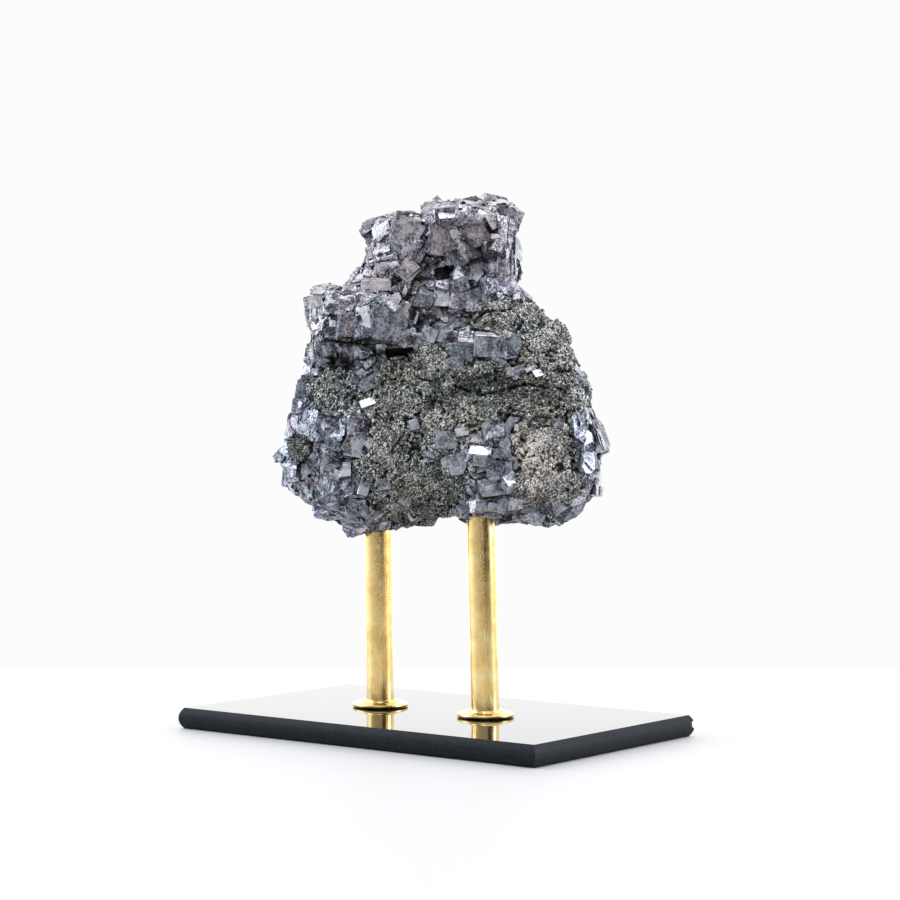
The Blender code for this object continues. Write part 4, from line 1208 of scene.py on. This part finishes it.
def build_bed():
    """The matrix's lumpy ground, which dives under the galena elsewhere."""
    bm = bmesh.new()
    bm.from_mesh(frame["nodes"]["galena_specimen"].data)
    bmesh.ops.remove_doubles(bm, verts=bm.verts, dist=0.002 * MM)
    mesh = bpy.data.meshes.new("bed")
    bm.to_mesh(mesh)
    bm.free()
    bed = bpy.data.objects.new("bed", mesh)
    bpy.context.scene.collection.objects.link(bed)
    remesh = bed.modifiers.new("fine", "REMESH")
    remesh.mode = "VOXEL"
    remesh.voxel_size = BED_VOXEL
    smooth = bed.modifiers.new("softened", "SMOOTH")
    smooth.iterations = 6
    bpy.context.view_layer.update()
    fine = bpy.data.meshes.new_from_object(bed.evaluated_get(bpy.context.evaluated_depsgraph_get()))
    bpy.data.objects.remove(bed)
    bm = bmesh.new()
    bm.from_mesh(fine)
    shows = matrix_share(np.array([vert.co for vert in bm.verts])) > 0
    seen = [edge for edge in bm.edges if any(shows[vert.index] for vert in edge.verts)]
    bmesh.ops.subdivide_edges(bm, edges=seen, cuts=1, use_grid_fill=True)
    bm.to_mesh(fine)
    bm.free()
    points = np.array([vert.co for vert in fine.vertices])
    normals = np.array([vert.normal for vert in fine.vertices])
    share = matrix_share(points)
    across, up, front = to_show_plane(points)
    lumps = np.array([abs(noise.noise(Vector(p) / (8 * MM))) for p in points])
    knobs = np.array([abs(noise.noise(Vector(p) / (3.0 * MM))) for p in points])
    crumbs = np.array([noise.noise(Vector(p) / (1.1 * MM)) for p in points])
    pits = np.array([noise.noise(Vector(p) / (1.7 * MM) + Vector((40, 0, 0))) for p in points])
    holed = np.array([noise.noise(Vector(p) / (11 * MM) + Vector((0, 70, 0))) for p in points])
    pits = np.clip((holed * 0.5 - 0.42 - pits) / 0.12, 0, 1)
    cracks = crack_depth(across, up, front)
    patches = patch_strength(PATCHES, across, up, front)
    warm = front * np.exp(-(((across - 50) / 13) ** 2) - ((up - 123) / 19) ** 2)
    raised = 0.8 + (1.7 * lumps + 0.6 * knobs) * (1 - 0.5 * warm) + 0.3 * crumbs - 0.8 * pits - cracks
    height = share * raised - (1 - share) * BED_SUNK / MM
    moved = points + normals * height[:, None] * MM
    fine.vertices.foreach_set("co", moved.ravel().astype(np.float32))
    # Pits and cracks are painted near black in the material, as painted shade, and get no grains.
    hidden = np.clip(np.maximum(pits, cracks / 1.5), 0, 1)
    chance = np.random.default_rng(31)
    for name, values in (
        ("grains", share * (hidden < 0.3)),
        ("gap", hidden),
        ("warm", warm),
        ("painted_light_and_tone", patches),
        ("tone", chance.beta(2.0, 2.4, len(points))),
    ):
        layer = fine.attributes.new(name, "FLOAT", "POINT")
        layer.data.foreach_set("value", values.astype(np.float32))
    fine.update()
    return fine


def grain_shapes(count, seed):
    """A few rough closed grains, about 1 m across, for scaling down."""
    chance = np.random.default_rng(seed)
    folder = bpy.data.collections.new("grain_shapes")
    bpy.context.scene.collection.children.link(folder)
    for number in range(count):
        bm = bmesh.new()
        bmesh.ops.create_cube(bm, size=0.8)
        for vert in bm.verts:
            vert.co *= 1 + chance.uniform(-0.35, 0.35)
        if number % 2:
            cut = bm.verts[:][number % 8]
            bmesh.ops.bevel(bm, geom=[cut], offset=0.3, segments=1, affect="VERTICES")
        hull = bmesh.ops.convex_hull(bm, input=bm.verts)
        spare = [item for item in hull["geom_interior"] if isinstance(item, bmesh.types.BMVert)]
        bmesh.ops.delete(bm, geom=spare, context="VERTS")
        mesh = bpy.data.meshes.new(f"grain_{number}")
        bm.to_mesh(mesh)
        bm.free()
        folder.objects.link(bpy.data.objects.new(f"grain_{number}", mesh))
    return folder


def grain_tree(material, shapes):
    """Geometry Nodes: scatters grains over a mesh where its attribute 'grains' asks for them."""
    tree = bpy.data.node_groups.new("sugared_grains", "GeometryNodeTree")
    face = tree.interface
    face.new_socket(name="Ground", in_out="INPUT", socket_type="NodeSocketGeometry")
    for name in ("Spacing", "Smallest", "Largest"):
        face.new_socket(name=name, in_out="INPUT", socket_type="NodeSocketFloat")
    face.new_socket(name="Seed", in_out="INPUT", socket_type="NodeSocketInt")
    face.new_socket(name="Grains", in_out="OUTPUT", socket_type="NodeSocketGeometry")
    given = add_node(tree, "NodeGroupInput").outputs
    wanted = add_node(tree, "GeometryNodeInputNamedAttribute", {"Name": "grains"}, data_type="FLOAT")
    scatter = add_node(
        tree,
        "GeometryNodeDistributePointsOnFaces",
        {
            "Mesh": given["Ground"],
            "Distance Min": given["Spacing"],
            "Density Max": 4.0e6,
            "Density Factor": wanted.outputs["Attribute"],
            "Seed": given["Seed"],
        },
        distribute_method="POISSON",
    )
    turn = add_node(tree, "FunctionNodeRandomValue", {1: (6.283, 6.283, 6.283)}, data_type="FLOAT_VECTOR")
    reach = add_node(tree, "FunctionNodeRandomValue", {2: 0.0, 3: 1.0, 8: 3}, data_type="FLOAT")
    skew = add_node(tree, "ShaderNodeMath", {0: reach.outputs[1], 1: 2.0}, operation="POWER")
    size = add_node(
        tree,
        "ShaderNodeMapRange",
        {"Value": skew.outputs[0], "To Min": given["Smallest"], "To Max": given["Largest"]},
    )
    shape = add_node(tree, "GeometryNodeCollectionInfo", {"Separate Children": True, "Reset Children": True})
    shape.inputs["Collection"].default_value = shapes
    placed = add_node(
        tree,
        "GeometryNodeInstanceOnPoints",
        {
            "Points": scatter.outputs["Points"],
            "Instance": shape.outputs[0],
            "Pick Instance": True,
            "Rotation": turn.outputs[0],
            "Scale": size.outputs[0],
        },
    )
    shade = add_node(tree, "FunctionNodeRandomValue", {2: 0.0, 3: 1.0, 8: 7}, data_type="FLOAT")
    toned = add_node(
        tree,
        "GeometryNodeStoreNamedAttribute",
        {"Geometry": placed.outputs[0], "Name": "tone", "Value": shade.outputs[1]},
        data_type="FLOAT",
        domain="INSTANCE",
    )
    real = add_node(tree, "GeometryNodeRealizeInstances", {"Geometry": toned.outputs[0]})
    dressed = add_node(tree, "GeometryNodeSetMaterial", {"Geometry": real.outputs[0], "Material": material})
    add_node(tree, "NodeGroupOutput", {"Grains": dressed.outputs[0]})
    return tree


def build_grains(ground, tree, name, **sizes):
    """Runs the tree over the ground and returns the grains as a plain mesh."""
    host = bpy.data.objects.new(name, ground)
    bpy.context.scene.collection.objects.link(host)
    modifier = host.modifiers.new("grains", "NODES")
    modifier.node_group = tree
    for item in tree.interface.items_tree:
        if item.in_out == "INPUT" and item.name in sizes:
            modifier[item.identifier] = sizes[item.name]
    bpy.context.view_layer.update()
    made = bpy.data.meshes.new_from_object(host.evaluated_get(bpy.context.evaluated_depsgraph_get()))
    bpy.data.objects.remove(host)
    return made


def sugary_pyrite():
    """Fine-grained pyrite gone dull: dark grey with a little olive, half metallic. It is
    speckled at 0.5 mm; a few grains are clean, which gives the matrix its sparkle."""
    pyrite = bpy.data.materials.new("sugary_pyrite")
    pyrite.use_nodes = True
    tree = pyrite.node_tree
    shader = tree.nodes["Principled BSDF"]
    place = add_node(tree, "ShaderNodeTexCoord").outputs["Object"]
    tone = add_node(tree, "ShaderNodeAttribute", attribute_name="tone").outputs["Fac"]
    cloud = add_node(tree, "ShaderNodeTexNoise", {"Vector": place, "Scale": 130.0, "Detail": 3.0})
    speckle = add_node(tree, "ShaderNodeTexNoise", {"Vector": place, "Scale": 1300.0, "Detail": 3.0, "Roughness": 0.7})
    lumpy = add_node(tree, "ShaderNodeMath", {0: cloud.outputs[0], 1: 1.3}, operation="MULTIPLY")
    uneven = add_node(
        tree, "ShaderNodeMath", {0: speckle.outputs[0], 1: 3.8, 2: lumpy.outputs[0]}, operation="MULTIPLY_ADD"
    )
    mixed_tone = add_node(tree, "ShaderNodeMath", {0: uneven.outputs[0], 1: -2.40}, operation="ADD")
    mixed_tone = add_node(tree, "ShaderNodeMath", {0: tone, 1: 0.8, 2: mixed_tone.outputs[0]}, operation="MULTIPLY_ADD")
    # Paler and darker patches, one of them a painted glint.
    painted_light_and_tone = add_node(tree, "ShaderNodeAttribute", attribute_name="painted_light_and_tone").outputs["Fac"]
    mixed_tone = add_node(tree, "ShaderNodeMath", {0: mixed_tone.outputs[0], 1: painted_light_and_tone}, operation="ADD")
    grey = add_node(tree, "ShaderNodeValToRGB", {"Fac": mixed_tone.outputs[0]})
    set_ramp(
        grey,
        [
            (0.0, linear("#151616")),
            (0.30, linear("#5A5D5B")),
            (0.62, linear("#8C8F8B")),
            (0.82, linear("#B8B9B4")),
            (0.92, linear("#FAF8F2")),
        ],
    )
    olive = add_node(tree, "ShaderNodeTexNoise", {"Vector": place, "Scale": 60.0, "Detail": 2.0})
    tint = add_node(tree, "ShaderNodeValToRGB", {"Fac": olive.outputs[0]})
    set_ramp(
        tint, [(0.36, linear("#E0E4EC")), (0.50, linear("#E6E6E6")), (0.66, linear("#E4E2DA"))]
    )
    stained = add_node(
        tree,
        "ShaderNodeMix",
        {0: 1.0, 6: grey.outputs[0], 7: tint.outputs[0]},
        data_type="RGBA",
        blend_type="MULTIPLY",
    )
    warm = add_node(tree, "ShaderNodeAttribute", attribute_name="warm").outputs["Fac"]
    warm = add_node(tree, "ShaderNodeMath", {0: warm, 1: 0.85}, operation="MULTIPLY")
    browned = add_node(
        tree,
        "ShaderNodeMix",
        {0: warm.outputs[0], 6: stained.outputs[2], 7: linear("#EADBD2")},
        data_type="RGBA",
        blend_type="OVERLAY",
    )
    # Painted shade: the pits and cracks are painted near black.
    gap = add_node(tree, "ShaderNodeAttribute", attribute_name="gap").outputs["Fac"]
    shaded = add_node(
        tree, "ShaderNodeMix", {0: gap, 6: browned.outputs[2], 7: linear("#101010")}, data_type="RGBA"
    )
    # Painted shade: the colour is darkened towards black where ambient occlusion finds other surfaces within 2 mm.
    gaps = add_node(tree, "ShaderNodeAmbientOcclusion", {"Distance": 2.0 * MM}, samples=6)
    painted_shade = add_node(tree, "ShaderNodeValToRGB", {"Fac": gaps.outputs["AO"]})
    set_ramp(painted_shade, [(0.15, (0.02, 0.02, 0.02, 1)), (0.48, (0.55, 0.55, 0.55, 1)), (0.76, (1, 1, 1, 1))])
    with_painted_shade = add_node(
        tree,
        "ShaderNodeMix",
        {0: 1.0, 6: shaded.outputs[2], 7: painted_shade.outputs[0]},
        data_type="RGBA",
        blend_type="MULTIPLY",
    )
    tree.links.new(with_painted_shade.outputs[2], shader.inputs["Base Color"])
    shader.inputs["Metallic"].default_value = 0.6
    rough = add_node(
        tree,
        "ShaderNodeMapRange",
        {"Value": cloud.outputs[0], "From Min": 0.3, "From Max": 0.7, "To Min": 0.28, "To Max": 0.5},
    )
    tree.links.new(rough.outputs[0], shader.inputs["Roughness"])
    bump = add_node(
        tree, "ShaderNodeBump", {"Strength": 0.8, "Distance": 0.25 * MM, "Height": speckle.outputs[0]}
    )
    tree.links.new(bump.outputs[0], shader.inputs["Normal"])
    return pyrite


pyrite = sugary_pyrite()
bed_mesh = build_bed()
shapes = grain_shapes(6, 9)
tree = grain_tree(pyrite, shapes)
coarse = build_grains(bed_mesh, tree, "coarse", Spacing=3.6 * MM, Smallest=0.8 * MM, Largest=1.8 * MM, Seed=1)
link_piece(coarse, "pyrite_coarse_grains", pyrite)
fine = build_grains(bed_mesh, tree, "fine", Spacing=1.12 * MM, Smallest=0.35 * MM, Largest=0.95 * MM, Seed=2)
link_piece(fine, "pyrite_fine_grains", pyrite)
link_piece(bed_mesh, "pyrite_bed", pyrite)
for shape in list(shapes.objects):
    bpy.data.objects.remove(shape)
bpy.data.collections.remove(shapes)
bpy.data.node_groups.remove(tree)
